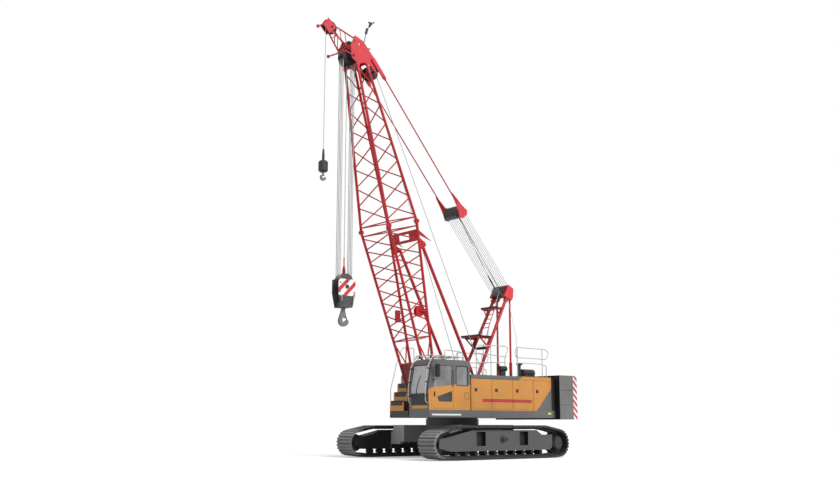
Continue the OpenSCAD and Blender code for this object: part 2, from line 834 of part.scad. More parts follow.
// Plate between the chords of one side, in the plane of those chords
module side_web(sy, s0, s1) {
  y = sy * (width_at(s0) + width_at(s1)) * half * half;
  plate([[-depth_at(s0) * half, s0], [depth_at(s0) * half, s0], [depth_at(s1) * half, s1],
    [-depth_at(s1) * half, s1]],
    y - foot_plate_half, y + foot_plate_half);
}

// Stiffened bay between the rear chords at the upper end of the lower section, with a window
module joint_bay() {
  s1 = lace_end - lace_gap * 2;
  u0 = depth_at(bay_low) * half;
  u1 = depth_at(s1) * half;
  y = (width_at(bay_low) + width_at(s1)) * half * half;
  rise = (s1 - bay_low) * bay_sill_share;
  difference() {
    plate([[-u0 - foot_plate_half, bay_low], [foot_plate_half - u0, bay_low],
      [foot_plate_half - u1, s1], [-u1 - foot_plate_half, s1]], -y, y);
    block(-joint_depth, 0, -y * bay_post_share, y * bay_post_share, bay_low + rise, s1 - rise);
  }
}

// Rope deflector that points rearwards from a rear chord
module wedge(sy) {
  s1 = butt_length * bay_high_share - joint_eye * 2;
  back = lacing_radius + run_gap;
  y = sy * width_at(s1) * half;
  plate([[-depth_at(s1) * half - back, s1], [-depth_at(s1 - wedge_depth) * half - back, s1 - wedge_depth],
    [-depth_at(s1) * half - wedge_reach, s1 - wedge_depth - wedge_drop]], y - wedge_half, y + wedge_half);
}
tie_s = butt_length * tie_share;
tie_gap = lacing_radius * 2 + run_gap;
lace_start = tie_s + tie_gap;
lace_end = butt_length * bay_high_share - tie_gap;
bay_low = mix(lace_start, lace_end, (panels - 1) / panels);
top_tie = butt_length + joint_eye * 2;
top_start = top_tie + tie_gap;
top_end = head_base - joint_eye * 2;

stop_lug_s = (stop_top[0] - foot_x) * sin(lean) + (stop_top[1] - foot_z) * cos(lean);
stop_lug_x = (stop_top[0] - foot_x) * cos(lean) - (stop_top[1] - foot_z) * sin(lean);
stop_lug_in = stop_y + stop_tube_radius + run_gap;

// Plate on a rear chord that takes the upper end of a back stop
module stop_lug_plate(sy) {
  w = width_at(stop_lug_s) * half;
  low = stop_lug_s - lug_radius;
  high = stop_lug_s + lug_radius * 2;
  back = lacing_radius + run_gap;
  y0 = sy > 0 ? stop_lug_in : -w;
  y1 = sy > 0 ? w : -stop_lug_in;
  plate([[-depth_at(low) * half - back, low], [-depth_at(high) * half - back, high],
    [stop_lug_x - stop_tube_radius, stop_lug_s + stop_tube_radius],
    [stop_lug_x - stop_tube_radius, stop_lug_s - stop_tube_radius]], y0, y1);
}

// Plate between the front chords at the foot, closed by a cross tube
module front_plate() {
  y = (width_at(front_plate_start) + width_at(butt_plate)) * half * half;
  u0 = depth_at(front_plate_start) * half;
  u1 = depth_at(butt_plate) * half;
  plate([[u0 - foot_plate_half, front_plate_start], [u0 + foot_plate_half, front_plate_start],
    [u1 + foot_plate_half, butt_plate], [u1 - foot_plate_half, butt_plate]], -y, y);
  bar(chord(1, -1, butt_plate), chord(1, 1, butt_plate), foot_tube);
}

module boom_butt() {
  color("#b3271e") in_boom() {
    front_plate();
    joint_bay();
    for (sy = [-1, 1]) difference() {
      union() {
        for (sx = [-1, 1]) {
          bar(chord(sx, sy, 0), chord(sx, sy, butt_length), chord_radius);
          chord_eye(sx, sy, butt_length, 0);
        }
        rotate([90, 0, 0]) translate([0, 0, -sy * foot_width * half - foot_eye_width * half])
          cylinder(h = foot_eye_width, r = foot_eye_radius);
        stop_lug_plate(sy);
        side_web(sy, foot_eye_radius * half, butt_plate);
        wedge(sy);
      }
      rotate([90, 0, 0]) translate([0, 0, -sy * foot_width * half - foot_eye_width])
        cylinder(h = foot_eye_width * 2, r = foot_pin_radius + seat);
    }
  }
}

// Two tubes of one side that run down from the lower ring to the plate at the foot
module foot_lacing(sy) {
  y = sy * (width_at(foot_eye_radius * half) + width_at(butt_plate)) * half * half;
  difference() {
    for (sx = [-1, 1]) bar(chord(sx, sy, tie_s - tie_gap), [0, y, butt_plate], lacing_radius);
    for (sx = [-1, 1]) bar(chord(sx, sy, butt_plate), chord(sx, sy, lace_start), chord_radius + seat);
    block(-foot_depth, foot_depth, y - foot_depth, y + foot_depth, 0, butt_plate + seat);
  }
}

module butt_lacing() {
  color("#b3271e") in_boom() {
    lacing(lace_start, lace_end, panels, panels, panels - 1);
    ties(tie_s);
    ties(lace_end + tie_gap);
    for (sy = [-1, 1]) foot_lacing(sy);
  }
}

module boom_top() {
  color("#b3271e") in_boom() for (sx = [-1, 1], sy = [-1, 1]) difference() {
    bar(chord(sx, sy, butt_length), chord(sx, sy, head_base), chord_radius);
    chord_eye(sx, sy, butt_length, seat);
    chord_eye(sx, sy, head_base, seat);
  }
}

module top_lacing() {
  color("#b3271e") in_boom() {
    lacing(top_start, top_end, top_panels, top_panels - 1, top_panels);
    ties(top_tie);
  }
}

head_cheek = 40;
head_half = 375;
head_reach = 900;
head_shares = [[0.07, -0.11], [0.14, 0.38], [0.03, 0.62], [-0.06, 0.82], [-0.45, 0.67], [-0.98, 0.11],
  [-0.93, -0.08],
  [-1.17, -0.29], [-1.19, -0.42], [-1.08, -0.48], [-0.725, -0.155]];
head_tube_shares = [[0.04, 0.42], [-0.45, 0.35]];
jib_pin_shares = [-0.27, 0.52];
guide_shares = [-1.093, -0.367];
upper_guide_shares = [-0.04, 0.58];
guide_radius = 195;
guide_pitch = 180;
upper_guide_radius = 62;
upper_guide_rise = 40;
head_tube = 47;
jib_pin_radius = 40;
sheave_pin_radius = 45;

// Point of the boom head, as shares of its reach from the main sheave axis
function head_point(q) = [main_sheave_x + q[0] * head_reach, main_sheave_z + q[1] * head_reach];
function chord_end(sx) = [foot_x + head_base * sin(lean) + sx * head_depth * half * cos(lean),
  foot_z + head_base * cos(lean) - sx * head_depth * half * sin(lean)];

module boom_head() {
  jib = head_point(jib_pin_shares);
  outline = concat([chord_end(1)], [for (q = head_shares) head_point(q)], [chord_end(-1)]);
  color("#b3271e") difference() {
    union() {
      in_boom() for (sx = [-1, 1], sy = [-1, 1]) chord_eye(sx, sy, head_base, 0);
      for (m = [-1, 1]) plate(outline, m * head_half - head_cheek * half, m * head_half + head_cheek * half);
      for (q = head_tube_shares)
        cross(head_point(q)[0], head_point(q)[1], head_tube, -head_half, head_half);
      cross(pendant_x, pendant_z, pendant_boss, run_gap * 2 - pendant_in, pendant_in - run_gap * 2);
    }
    cross(main_sheave_x, main_sheave_z, sheave_pin_radius + seat, -head_width, head_width);
    cross(jib[0], jib[1], jib_pin_radius, -head_width, head_width);
    for (q = [guide_shares, upper_guide_shares])
      cross(head_point(q)[0], head_point(q)[1], tip_pin + seat, -head_width, head_width);
  }
}

module head_sheaves() {
  groove = main_sheave_radius - rope_radius;
  aux_groove = aux_sheave_radius - rope_radius;
  color("#26282a") {
    for (y = fall_y)
      sheave(main_sheave_x, y, main_sheave_z, groove, groove + flange_rise, sheave_half_width,
        sheave_pin_radius + seat);
    cross(main_sheave_x, main_sheave_z, sheave_pin_radius, -head_half - head_cheek, head_half + head_cheek);
    for (m = [-1, 1]) {
      guide = head_point(guide_shares);
      upper = head_point(upper_guide_shares);
      sheave(guide[0], m * guide_pitch * half, guide[1], guide_radius, guide_radius + flange_rise,
        sheave_half_width, tip_pin + seat);
      sheave(upper[0], m * sheave_pitch * half, upper[1], upper_guide_radius,
        upper_guide_radius + upper_guide_rise,
        sheave_half_width, tip_pin + seat);
    }
    for (q = [guide_shares, upper_guide_shares])
      cross(head_point(q)[0], head_point(q)[1], tip_pin, -head_half - head_cheek * half,
        head_half + head_cheek * half);
    sheave(aux_sheave_x, 0, aux_sheave_z, aux_groove, aux_groove + flange_rise, sheave_half_width,
      tip_pin + seat);
    cross(aux_sheave_x, aux_sheave_z, tip_pin, -tip_half - tip_cheek * 2, tip_half + tip_cheek * 2);
  }
}

tip_reach = 350;
tip_shares = [[0.43, 0.83], [1, 0.03], [0.26, -0.74], [-0.57, 0.11]];
tip_tube_shares = [0.43, 0.66];
tip_low_shares = [0.05, -0.45];
tip_high_shares = [-0.34, 0.17];
tip_half = 92;
tip_cheek = 24;
tip_pin = 34;
tip_chord = 26;
tip_lace = 15;
tip_lace_shares = [0.25, 0.5, 0.75];
tip_eye = 48;
tip_eye_half = 25;
tip_root_low_shares = [0.06, 0.22];
tip_root_high_shares = [-0.09, 0.71];

function tip_point(q) = [aux_sheave_x + q[0] * tip_reach, aux_sheave_z + q[1] * tip_reach];
tip_eye_y = head_half - head_cheek * half - seat - tip_eye_half;
function tip_rod(sy, root, end, t) = let (a = head_point(root), b = tip_point(end))
  [mix(a[0], b[0], t), sy * mix(tip_eye_y, tip_half, t), mix(a[1], b[1], t)];

// Auxiliary tip: two cheeks carried from the head plates by four rods with lacing between them
module aux_tip() {
  color("#b3271e") difference() {
    union() {
      for (m = [-1, 1]) {
        plate([for (q = tip_shares) tip_point(q)], m * tip_half - tip_cheek * half,
          m * tip_half + tip_cheek * half);
        for (e = [[tip_root_low_shares, tip_low_shares], [tip_root_high_shares, tip_high_shares]]) {
          root = head_point(e[0]);
          bar(tip_rod(m, e[0], e[1], 0), tip_rod(m, e[0], e[1], 1), tip_chord);
          cross(root[0], root[1], tip_eye, m * tip_eye_y - tip_eye_half, m * tip_eye_y + tip_eye_half);
        }
        for (i = [0 : len(tip_lace_shares) - 2])
          bar(tip_rod(m, tip_root_low_shares, tip_low_shares, tip_lace_shares[i]),
            tip_rod(m, tip_root_high_shares, tip_high_shares, tip_lace_shares[i + 1]), tip_lace);
      }
      for (t = [tip_lace_shares[0], tip_lace_shares[2]])
        bar(tip_rod(-1, tip_root_low_shares, tip_low_shares, t), tip_rod(1, tip_root_low_shares,
          tip_low_shares, t), tip_lace);
      tube = tip_point(tip_tube_shares);
      cross(tube[0], tube[1], tip_chord, -tip_half, tip_half);
    }
    cross(aux_sheave_x, aux_sheave_z, tip_pin + seat, -head_width, head_width);
  }
}

// Back stops

function stop_at(y, t) = [mix(stop_base[0], stop_top[0], t), y, mix(stop_base[1], stop_top[1], t)];

module stop_rods() {
  color("#1f2123") for (m = [-1, 1]) difference() {
    union() {
      bar(stop_at(m * stop_y, 0), stop_at(m * stop_y, stop_rod_share), stop_rod_radius);
      cross(stop_base[0], stop_base[1], stop_eye_radius, m * stop_y - stop_eye_half,
        m * stop_y + stop_eye_half);
    }
    cross(stop_base[0], stop_base[1], stop_pin_radius + seat, -upper_half_width, upper_half_width);
  }
}

module stop_tubes() {
  color("#b3271e") for (m = [-1, 1]) difference() {
    bar(stop_at(m * stop_y, stop_lower_share), stop_at(m * stop_y, 1), stop_tube_radius);
    bar(stop_at(m * stop_y, 0), stop_at(m * stop_y, stop_rod_share + stop_lower_share),
      stop_rod_radius + seat);
  }
}

// Luffing gear

rope_falls = 6;
luff_spread = 235;
equaliser_half = 400;
pendant_y = 440;
pendant_eye = 60;
pendant_radius = 22;
pendant_cheek = 30;
link_length = 900;
link_half_width = 72;
link_half = 16;
pendant_boss = 52;
pendant_in = head_width * half + joint_eye_half + run_gap;
luff_dir = [pendant_x - gantry_x, pendant_z - gantry_z] / norm([pendant_x - gantry_x, pendant_z - gantry_z]);
luff_length = norm([equaliser_x - gantry_x, equaliser_z - gantry_z]);
luff_angle = atan2(luff_dir[1], luff_dir[0]);
pendant_length = norm([pendant_x - gantry_x, pendant_z - gantry_z]);

// Frame with its Z along the luffing line and its origin on the gantry head axis
module in_luff() {
  translate([gantry_x, 0, gantry_z]) rotate([0, 90 - luff_angle, 0]) children();
}

module luffing_ropes() {
  off = gantry_sheave_radius + rope_radius + seat;
  color("#8b8d8f") in_luff() for (i = [0 : rope_falls - 1], m = [-1, 1]) {
    y = mix(-luff_spread, luff_spread, i / (rope_falls - 1));
    translate([m * off, y, 0]) cylinder(h = luff_length, r = rope_radius);
  }
}

module equaliser() {
  color("#26282a") in_luff() {
    translate([0, 0, luff_length]) rotate([90, 0, 0]) translate([0, 0,
      -equaliser_half + pendant_cheek + seat])
      cylinder(h = (equaliser_half - pendant_cheek - seat) * 2, r = gantry_sheave_radius);
  }
}

module pendants() {
  r = gantry_sheave_radius;
  color("#b3271e") in_luff() for (m = [-1, 1]) {
    plate([[-r * half, luff_length + r], [-r, luff_length - r * half], [-r * half, luff_length - r],
      [r * half, luff_length - r], [r, luff_length - r * half], [r * half, luff_length + r]],
      m * equaliser_half - pendant_cheek, m * equaliser_half + pendant_cheek);
    bar([0, m * equaliser_half, luff_length + r * half],
      [0, m * pendant_y, pendant_length - link_length + link_half_width], pendant_radius);
    plate([[0, pendant_length - link_length], [link_half_width,
      pendant_length - link_length + link_half_width * 2],
      [link_half_width, pendant_length], [-link_half_width, pendant_length],
      [-link_half_width, pendant_length - link_length + link_half_width * 2]],
      m * pendant_y - link_half, m * pendant_y + link_half);
    translate([0, m * (pendant_y + pendant_radius), pendant_length]) rotate([m * 90, 0, 0])
      cylinder(h = pendant_radius + pendant_y - pendant_in, r = pendant_eye);
  }
}

// Hooks

block_bottom = block_top - block_height;
hook_tip = block_bottom - hook_drop;
ball_hook_tip = ball_top - ball_hook_drop;
fall_y = [for (i = [0 : 3]) (i - 3 * half) * sheave_pitch];
block_half = 170;
block_wide = 335;
block_cheek = 28;
cheek_height = 940;
block_shares = [[1, 0.5], [1, 0.95], [0.93, 1], [-0.93, 1], [-1, 0.95], [-1, 0.5], [-0.67, 0], [0.67, 0]];
block_axis_drop = 85;
block_pin_radius = 40;
block_axis = block_bottom + cheek_height - block_axis_drop;
hook_radius = 183;
aux_hook_radius = 106;
hook_thickness_share = 0.3;
hook_inner_share = 0.45;
hook_rise_share = 0.2;
neck_low_share = 0.68;
neck_high_share = 1.5;
neck_share = 0.4;
hook_gap_share = 0.14;
shank_share = 0.24;

module hoist_falls() {
  color("#8b8d8f") for (y = fall_y, m = [-1, 1])
    translate([main_sheave_x + m * (main_sheave_radius + seat), y, block_axis])
      cylinder(h = main_sheave_z - block_axis, r = rope_radius);
}

module hook_block() {
  groove = main_sheave_radius - rope_radius;
  inner = block_half + block_cheek * half;
  color("#3a3b3d") {
    for (y = fall_y)
      sheave(main_sheave_x, y, block_axis, groove, groove + flange_rise, sheave_half_width,
        block_pin_radius + seat);
    difference() {
      union() {
        cross(main_sheave_x, block_axis, block_pin_radius, -inner - block_cheek, inner + block_cheek);
        block(main_sheave_x - block_half, main_sheave_x + block_half, -inner, inner, block_bottom,
          block_bottom + block_half);
        for (m = [-1, 1]) plate([for (q = block_shares)
          [main_sheave_x + q[0] * block_wide, block_bottom + q[1] * cheek_height]],
          m * inner - block_cheek * half, m * inner + block_cheek * half);
      }
      translate([main_sheave_x, 0, 0]) cylinder(h = block_bottom + block_half * half,
        r = hook_radius * shank_share + seat);
    }
  }
}

// Hook with its body thickest under the load and its mouth towards the rear
module hook(x, top, tip, r) {
  mid = tip + r;
  t = r * hook_thickness_share;
  gap = r * hook_gap_share;
  color("#3a3b3d") {
    translate([x, 0, mid]) rotate_extrude() polygon([[0, r * neck_low_share],
      [r * neck_share, r * neck_low_share], [r * shank_share, r * neck_high_share],
      [r * shank_share, top - mid], [0, top - mid]]);
    difference() {
      cross(x, mid, r, -t, t);
      cross(x - gap * half, mid + r * hook_rise_share, r * hook_inner_share, -r, r);
      block(x - r * 2, x - r * shank_share - gap, -r, r, mid + gap, mid + r * 2);
    }
  }
}

module main_hook() {
  hook(main_sheave_x, block_bottom + block_half * half - seat, hook_tip, hook_radius);
}

ball_radius = 160;
ball_length = 384;
ball_edge = 45;
rope_socket = 400;
socket_radius = 44;
socket_neck = 30;
aux_rope_x = aux_sheave_x + aux_sheave_radius + seat;

module aux_rope() {
  color("#8b8d8f") translate([aux_rope_x, 0, ball_top + rope_socket + seat])
    cylinder(h = aux_sheave_z - ball_top - rope_socket - seat, r = rope_radius);
}

// Weight with its rope socket
module aux_ball() {
  r = ball_radius;
  e = ball_edge;
  color("#3a3b3d") translate([aux_rope_x, 0, ball_top - ball_length]) rotate_extrude() polygon([[0, 0],
    [r - e, 0], [r, e], [r, ball_length - e], [r - e, ball_length], [socket_radius, ball_length],
    [socket_radius, ball_length + rope_socket * half], [socket_neck, ball_length + rope_socket], [0,
      ball_length + rope_socket]]);
}

module aux_hook() {
  hook(aux_rope_x, ball_top - ball_length - seat, ball_hook_tip, aux_hook_radius);
}

carbody();
slew_ring();
side_frame(1);  // side_frame_left
side_frame(-1);  // side_frame_right
track(1);  // track_left
track(-1);  // track_right
end_wheels(1);  // end_wheels_left
end_wheels(-1);  // end_wheels_right
rollers(1);  // rollers_left
rollers(-1);  // rollers_right
upper_frame();
foot_pins();
counterweight();
cab_shell();
cab_glass();
cab_door();
door_glass();
operator_seat();
house_left();
house_right();
house_door(left_edges, 0);  // house_door_left_1
house_door(left_edges, 1);  // house_door_left_2
house_door(left_edges, 2);  // house_door_left_3
house_door(left_edges, 3);  // house_door_left_4
mirror([0, 1, 0]) house_door(right_edges, 0);  // house_door_right_1
mirror([0, 1, 0]) house_door(right_edges, 1);  // house_door_right_2
mirror([0, 1, 0]) house_door(right_edges, 2);  // house_door_right_3
engine();
winches();
right_steps();
gantry();
gantry_sheaves();
boom_butt();
butt_lacing();
boom_top();
top_lacing();
boom_head();
head_sheaves();
stop_rods();
stop_tubes();
luffing_ropes();
equaliser();
pendants();
hoist_falls();
hook_block();
main_hook();
aux_rope();
aux_ball();
aux_hook();
aux_tip();
gantry_platforms();
roof_gear();
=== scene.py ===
import json
import math

import bmesh
import bpy
from mathutils import Matrix, Vector


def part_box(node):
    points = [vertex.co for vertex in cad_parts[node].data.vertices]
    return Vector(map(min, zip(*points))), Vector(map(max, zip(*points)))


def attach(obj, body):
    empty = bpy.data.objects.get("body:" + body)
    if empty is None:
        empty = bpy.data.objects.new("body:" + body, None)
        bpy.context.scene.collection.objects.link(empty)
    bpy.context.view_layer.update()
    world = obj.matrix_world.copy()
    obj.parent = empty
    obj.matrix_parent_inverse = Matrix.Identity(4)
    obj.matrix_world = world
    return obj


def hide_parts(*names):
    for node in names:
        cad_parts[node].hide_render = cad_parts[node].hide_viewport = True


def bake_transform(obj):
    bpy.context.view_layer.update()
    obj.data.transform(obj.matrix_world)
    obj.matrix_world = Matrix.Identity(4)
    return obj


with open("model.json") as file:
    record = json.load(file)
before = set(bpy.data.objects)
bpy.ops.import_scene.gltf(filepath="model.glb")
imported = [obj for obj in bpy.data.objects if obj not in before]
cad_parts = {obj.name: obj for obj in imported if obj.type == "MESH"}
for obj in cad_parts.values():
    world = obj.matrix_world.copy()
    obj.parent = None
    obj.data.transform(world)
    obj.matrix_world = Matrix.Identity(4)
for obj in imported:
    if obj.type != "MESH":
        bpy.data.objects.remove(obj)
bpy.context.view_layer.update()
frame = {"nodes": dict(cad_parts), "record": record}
scene = bpy.context.scene
scene.view_settings.view_transform = "Standard"


# Camera

sensor_width, focal_length, far_clip = 36.0, 41.76, 400.0
eye = Vector((23.044, 26.393, 1.132))
view_way = Vector((-0.62181, -0.76072, 0.18591)).normalized()


def place_camera():
    data = bpy.data.cameras.new("camera")
    data.sensor_width, data.lens, data.clip_end = sensor_width, focal_length, far_clip
    camera = bpy.data.objects.new("camera", data)
    camera.location = eye
    camera.rotation_mode = "QUATERNION"
    camera.rotation_quaternion = view_way.to_track_quat("-Z", "Y")
    scene.collection.objects.link(camera)
    scene.camera = camera


place_camera()


# Shader sums

class Value:
    """A socket that takes part in sums. Each sum adds its Math node."""

    def __init__(self, finish, socket):
        self.finish, self.socket = finish, socket

    def math(self, operation, a, b=0.0, clamp=False):
        settings = {"operation": operation, "use_clamp": clamp}
        made = self.finish.node("ShaderNodeMath", settings, {0: a, 1: b})
        return Value(self.finish, made.outputs[0])

    def __add__(self, other):
        return self.math("ADD", self, other)

    def __radd__(self, other):
        return self.math("ADD", other, self)

    def __sub__(self, other):
        return self.math("SUBTRACT", self, other)

    def __rsub__(self, other):
        return self.math("SUBTRACT", other, self)

    def __mul__(self, other):
        return self.math("MULTIPLY", self, other)

    def __mod__(self, other):
        return self.math("FLOORED_MODULO", self, other)

    def above(self, edge, soft=0.002):
        """1 over the edge and 0 under it, with a soft step between them."""
        return self.math("MULTIPLY", self - edge, 1.0 / soft, clamp=True)

    def within(self, low, high, soft=0.002):
        return self.above(low, soft) * (1.0 - self.above(high, soft))

    def size(self):
        return self.math("ABSOLUTE", self)

    def most(self, other):
        return self.math("MAXIMUM", self, other)

    def least(self, other):
        return self.math("MINIMUM", self, other)


class Finish:
    """A material under construction."""

    def __init__(self, name):
        self.material = bpy.data.materials.new(name)
        self.material.use_nodes = True
        self.tree = self.material.node_tree
        self.shader = self.tree.nodes["Principled BSDF"]
        self.points = None

    def node(self, kind, settings=None, inputs=None):
        made = self.tree.nodes.new(kind)
        for key, value in (settings or {}).items():
            setattr(made, key, value)
        for key, value in (inputs or {}).items():
            if isinstance(value, Value):
                self.tree.links.new(value.socket, made.inputs[key])
            else:
                made.inputs[key].default_value = value
        return made

    def place(self):
        if self.points is None:
            self.points = self.node("ShaderNodeTexCoord").outputs["Object"]
        return Value(self, self.points)

    def axes(self):
        split = self.node("ShaderNodeSeparateXYZ", None, {0: self.place()})
        return [Value(self, split.outputs[i]) for i in range(3)]

    def stretched(self, x, y, z, turn=(0.0, 0.0, 0.0)):
        inputs = {0: self.place(), "Rotation": turn, "Scale": (x, y, z)}
        made = self.node("ShaderNodeMapping", None, inputs)
        return Value(self, made.outputs[0])

    def noise(self, scale, detail, points=None):
        inputs = {"Vector": points or self.place(), "Scale": scale, "Detail": detail, "Roughness": 0.55}
        return Value(self, self.node("ShaderNodeTexNoise", None, inputs).outputs[0])

    def mixed(self, share, first, second):
        made = self.node("ShaderNodeMix", {"data_type": "RGBA"}, {0: share, 6: first, 7: second})
        return Value(self, made.outputs[2])

    def set(self, **sockets):
        for key, value in sockets.items():
            name = key.replace("_", " ")
            if isinstance(value, Value):
                self.tree.links.new(value.socket, self.shader.inputs[name])
            else:
                self.shader.inputs[name].default_value = value

    def bump(self, height, strength, distance):
        inputs = {"Height": height, "Strength": strength, "Distance": distance}
        made = self.node("ShaderNodeBump", None, inputs)
        self.set(Normal=Value(self, made.outputs[0]))


def rgb(r, g, b):
    return (r, g, b, 1.0)


# Finishes

red = rgb(0.410, 0.009, 0.015)
# The next two reds are a painted highlight and a painted shade of the boom red.
red_painted_highlight = rgb(0.590, 0.045, 0.060)
red_painted_shade = rgb(0.080, 0.004, 0.006)
orange = rgb(0.535, 0.232, 0.044)
# A painted shade of the body orange, for the crease.
orange_crease_shade = rgb(0.410, 0.155, 0.024)
mid_grey = rgb(0.115, 0.115, 0.113)
deck_grey = rgb(0.120, 0.120, 0.120)
weight_grey = rgb(0.150, 0.150, 0.148)
frame_grey = rgb(0.062, 0.063, 0.064)
hook_grey = rgb(0.170, 0.170, 0.168)
# Pale grey, a painted highlight for the front face of the front beam.
beam_highlight_grey = rgb(0.420, 0.420, 0.416)
# Near black: for black stripe edges, glass and wear, and also for painted shade.
black_and_painted_shade = rgb(0.012, 0.012, 0.013)
pure_black = rgb(0.0, 0.0, 0.0)
dust = rgb(0.190, 0.170, 0.145)
rope_grey = rgb(0.460, 0.465, 0.470)
white = rgb(0.780, 0.780, 0.770)
signal_red = rgb(0.520, 0.022, 0.026)


def coat(finish, base, rough, gloss, grime):
    """Sprayed paint: a slow change of tone, fine dust low down, and a fine ripple."""
    z = finish.axes()[2]
    broad, fine, ripple = finish.noise(0.9, 3.0), finish.noise(38.0, 5.0), finish.noise(210.0, 2.0)
    dust_from, dust_height = 0.2, 2.6
    low = 1.0 - z.above(dust_from, dust_height)
    film = (broad * 0.5 + fine * 0.6 + low * 0.35 - 0.55).above(0.0, 0.45) * grime
    tone = finish.mixed(broad.above(0.38, 0.3) * 0.16, base, pure_black)
    finish.set(Base_Color=finish.mixed(film, tone, dust), Roughness=rough + film * 0.9 + fine * 0.05)
    finish.set(Coat_Weight=gloss, Coat_Roughness=0.12, Specular_IOR_Level=0.32)
    finish.bump(ripple, 0.05, 0.0012)
    return finish


def red_paint():
    """Boom red, painted highlight on the flat cheeks of the heads and equaliser, painted shade at the boom
    foot.
    """
    finish = Finish("boom_red")
    x, y, z = finish.axes()
    head_cheek, head_base = 0.390, 13.10
    tip_cheek, tip_rear, tip_base = 0.050, 5.20, 14.10
    gantry_front, gantry_base = -2.0, 5.70
    drum_cheek, drum_base, drum_top, drum_front = 0.330, 8.40, 9.10, 0.10
    foot_rear, foot_base, foot_top = 0.95, 1.50, 3.16
    head = y.above(head_cheek) * z.above(head_base)
    tip = y.above(tip_cheek) * x.above(tip_rear) * z.above(tip_base)
    gantry_head = y.above(head_cheek) * (1.0 - x.above(gantry_front)) * z.above(gantry_base)
    drum = y.above(drum_cheek) * z.within(drum_base, drum_top) * (1.0 - x.above(drum_front))
    # Painted highlight: the flat cheeks are made paler red as if lit.
    cheek = head.most(tip).most(gantry_head).most(drum)
    # Painted shade: the foot of the boom is made dark red as if in shadow.
    foot = x.above(foot_rear) * z.within(foot_base, foot_top) * 0.75
    base = finish.mixed(foot, finish.mixed(cheek, red, red_painted_highlight), red_painted_shade)
    return coat(finish, base, 0.42, 0.08, 0.05).material


def orange_paint():
    """Body orange, grey along the top and on the cab's nose, with a plain stripe, and painted shade in a
    crease and on a step side.
    """
    finish = Finish("body_orange")
    x, y, z = finish.axes()
    cab_rear, cab_front, steep_run, cab_band = 0.655, 2.52, 0.15, 2.235
    house_band, band_rise_from, band_rear = 2.655, -1.63, -1.84
    tail_top, tail_front = 2.41, -3.30
    nose_from, crease_low, crease_high = 2.452, 1.838, 1.846
    stripe_rear, stripe_front, stripe_low, stripe_high, stripe_edge = -2.28, 0.10, 1.885, 1.985, 0.015
    cab = x.above(cab_rear)
    rise = (cab_front - x).most(0.0)
    cab_line = cab_band + rise.least(steep_run) * 0.62 + (rise - steep_run).most(0.0).least(1.0) * 0.112
    house_line = house_band + (band_rise_from - x).most(0.0) * 0.71
    band = cab * y.above(0.0) * z.above(cab_line) + (1.0 - cab) * z.above(house_line) * x.above(band_rear)
    tail = (1.0 - x.above((tail_top - z).most(0.0) * 0.945 + tail_front)) * (1.0 - cab)
    grey = band.most(tail)
    # Painted shade: a darker line along the crease of the house side.
    crease = z.within(crease_low, crease_high, 0.003) * (1.0 - cab) * (1.0 - grey)
    nose = x.above(nose_from) * y.within(0.72, 1.675)
    nose_strip = z.within(1.645, 1.740) * y.within(0.80, 1.60)
    base = finish.mixed(grey.most(nose * (1.0 - nose_strip)), orange, mid_grey)
    base = finish.mixed(crease * 0.45, base, orange_crease_shade)
    # Painted shade: the side face of the steps is painted near black.
    step_side_shade = x.within(0.60, 1.48) * y.within(-0.910, -0.890)
    base = finish.mixed(step_side_shade * 0.85, base, black_and_painted_shade)
    stripe = x.within(stripe_rear, stripe_front) * y.size().above(1.692)
    base = finish.mixed(stripe * z.within(stripe_low, stripe_high), base, black_and_painted_shade)
    core = z.within(stripe_low + stripe_edge, stripe_high - stripe_edge)
    base = finish.mixed(stripe * core, base, signal_red)
    return coat(finish, base, 0.38, 0.25, 0.05).material


def deck_paint():
    """Deck grey, with painted shade in black in the recess in front of the counterweight and on the nose
    under the boom.
    """
    finish = Finish("deck_grey")
    x, y, z = finish.axes()
    recess_front, recess_floor = -3.335, 1.62
    nose_from, nose_left = 1.440, 0.620
    # Painted shade: the recess and the nose under the boom are made black as if in shadow.
    recess = (1.0 - x.above(recess_front)) * z.above(recess_floor)
    nose = x.above(nose_from) * (1.0 - y.above(nose_left)) * 0.8
    return coat(finish, finish.mixed(recess.most(nose), deck_grey, black_and_painted_shade), 0.5, 0.12, 0.12).material


def frame_paint():
    """Undercarriage grey, painted shade in black inside the side frames and their sockets, painted highlight
    on the front beam.
    """
    finish = Finish("undercarriage_grey")
    x, y, z = finish.axes()
    # Painted shade: the sockets and the inner walls of the side frames are made black.
    socket = x.size().within(0.770, 1.200) * y.size().within(2.360, 2.552) * z.within(0.430, 0.900)
    # Painted highlight: the front face of the front beam is made pale as if lit.
    beam_face_highlight = x.within(1.180, 1.190) * y.size().within(1.250, 2.000)
    inner_wall_shade = y.size().within(1.985, 2.003) * (1.0 - beam_face_highlight)
    dark = socket.most(inner_wall_shade)
    base = finish.mixed(beam_face_highlight, finish.mixed(dark, frame_grey, black_and_painted_shade), beam_highlight_grey)
    return coat(finish, base, 0.52, 0.1, (1.0 - dark) * 0.2).material


def plain_paint(name, base, rough, gloss, grime):
    return coat(Finish(name), base, rough, gloss, grime).material


def counterweight_paint():
    """Cast slabs, with painted shade in black on the front, and red and white bars on the rear face and
    round its corners.
    """
    finish = Finish("slab_grey")
    x, y, z = finish.axes()
    front_face, bars_front, bars_inner, bar_pitch, bar_from, bar_to = -3.744, -4.47, 1.47, 0.235, 0.02, 0.135
    strip = (1.0 - x.above(bars_front)) * y.size().above(bars_inner)
    bars = ((z - x - y.size()) % bar_pitch).within(bar_from, bar_to, 0.004)
    # Painted shade: the front of the slabs, in the recess, is made black as if in shadow.
    front = x.above(front_face)
    base = finish.mixed(strip, weight_grey, finish.mixed(bars, white, signal_red))
    coat(finish, finish.mixed(front, base, black_and_painted_shade), 0.55, 0.05, (1.0 - front) * 0.16)
    finish.bump(finish.noise(26.0, 6.0), 0.25, 0.004)
    return finish.material


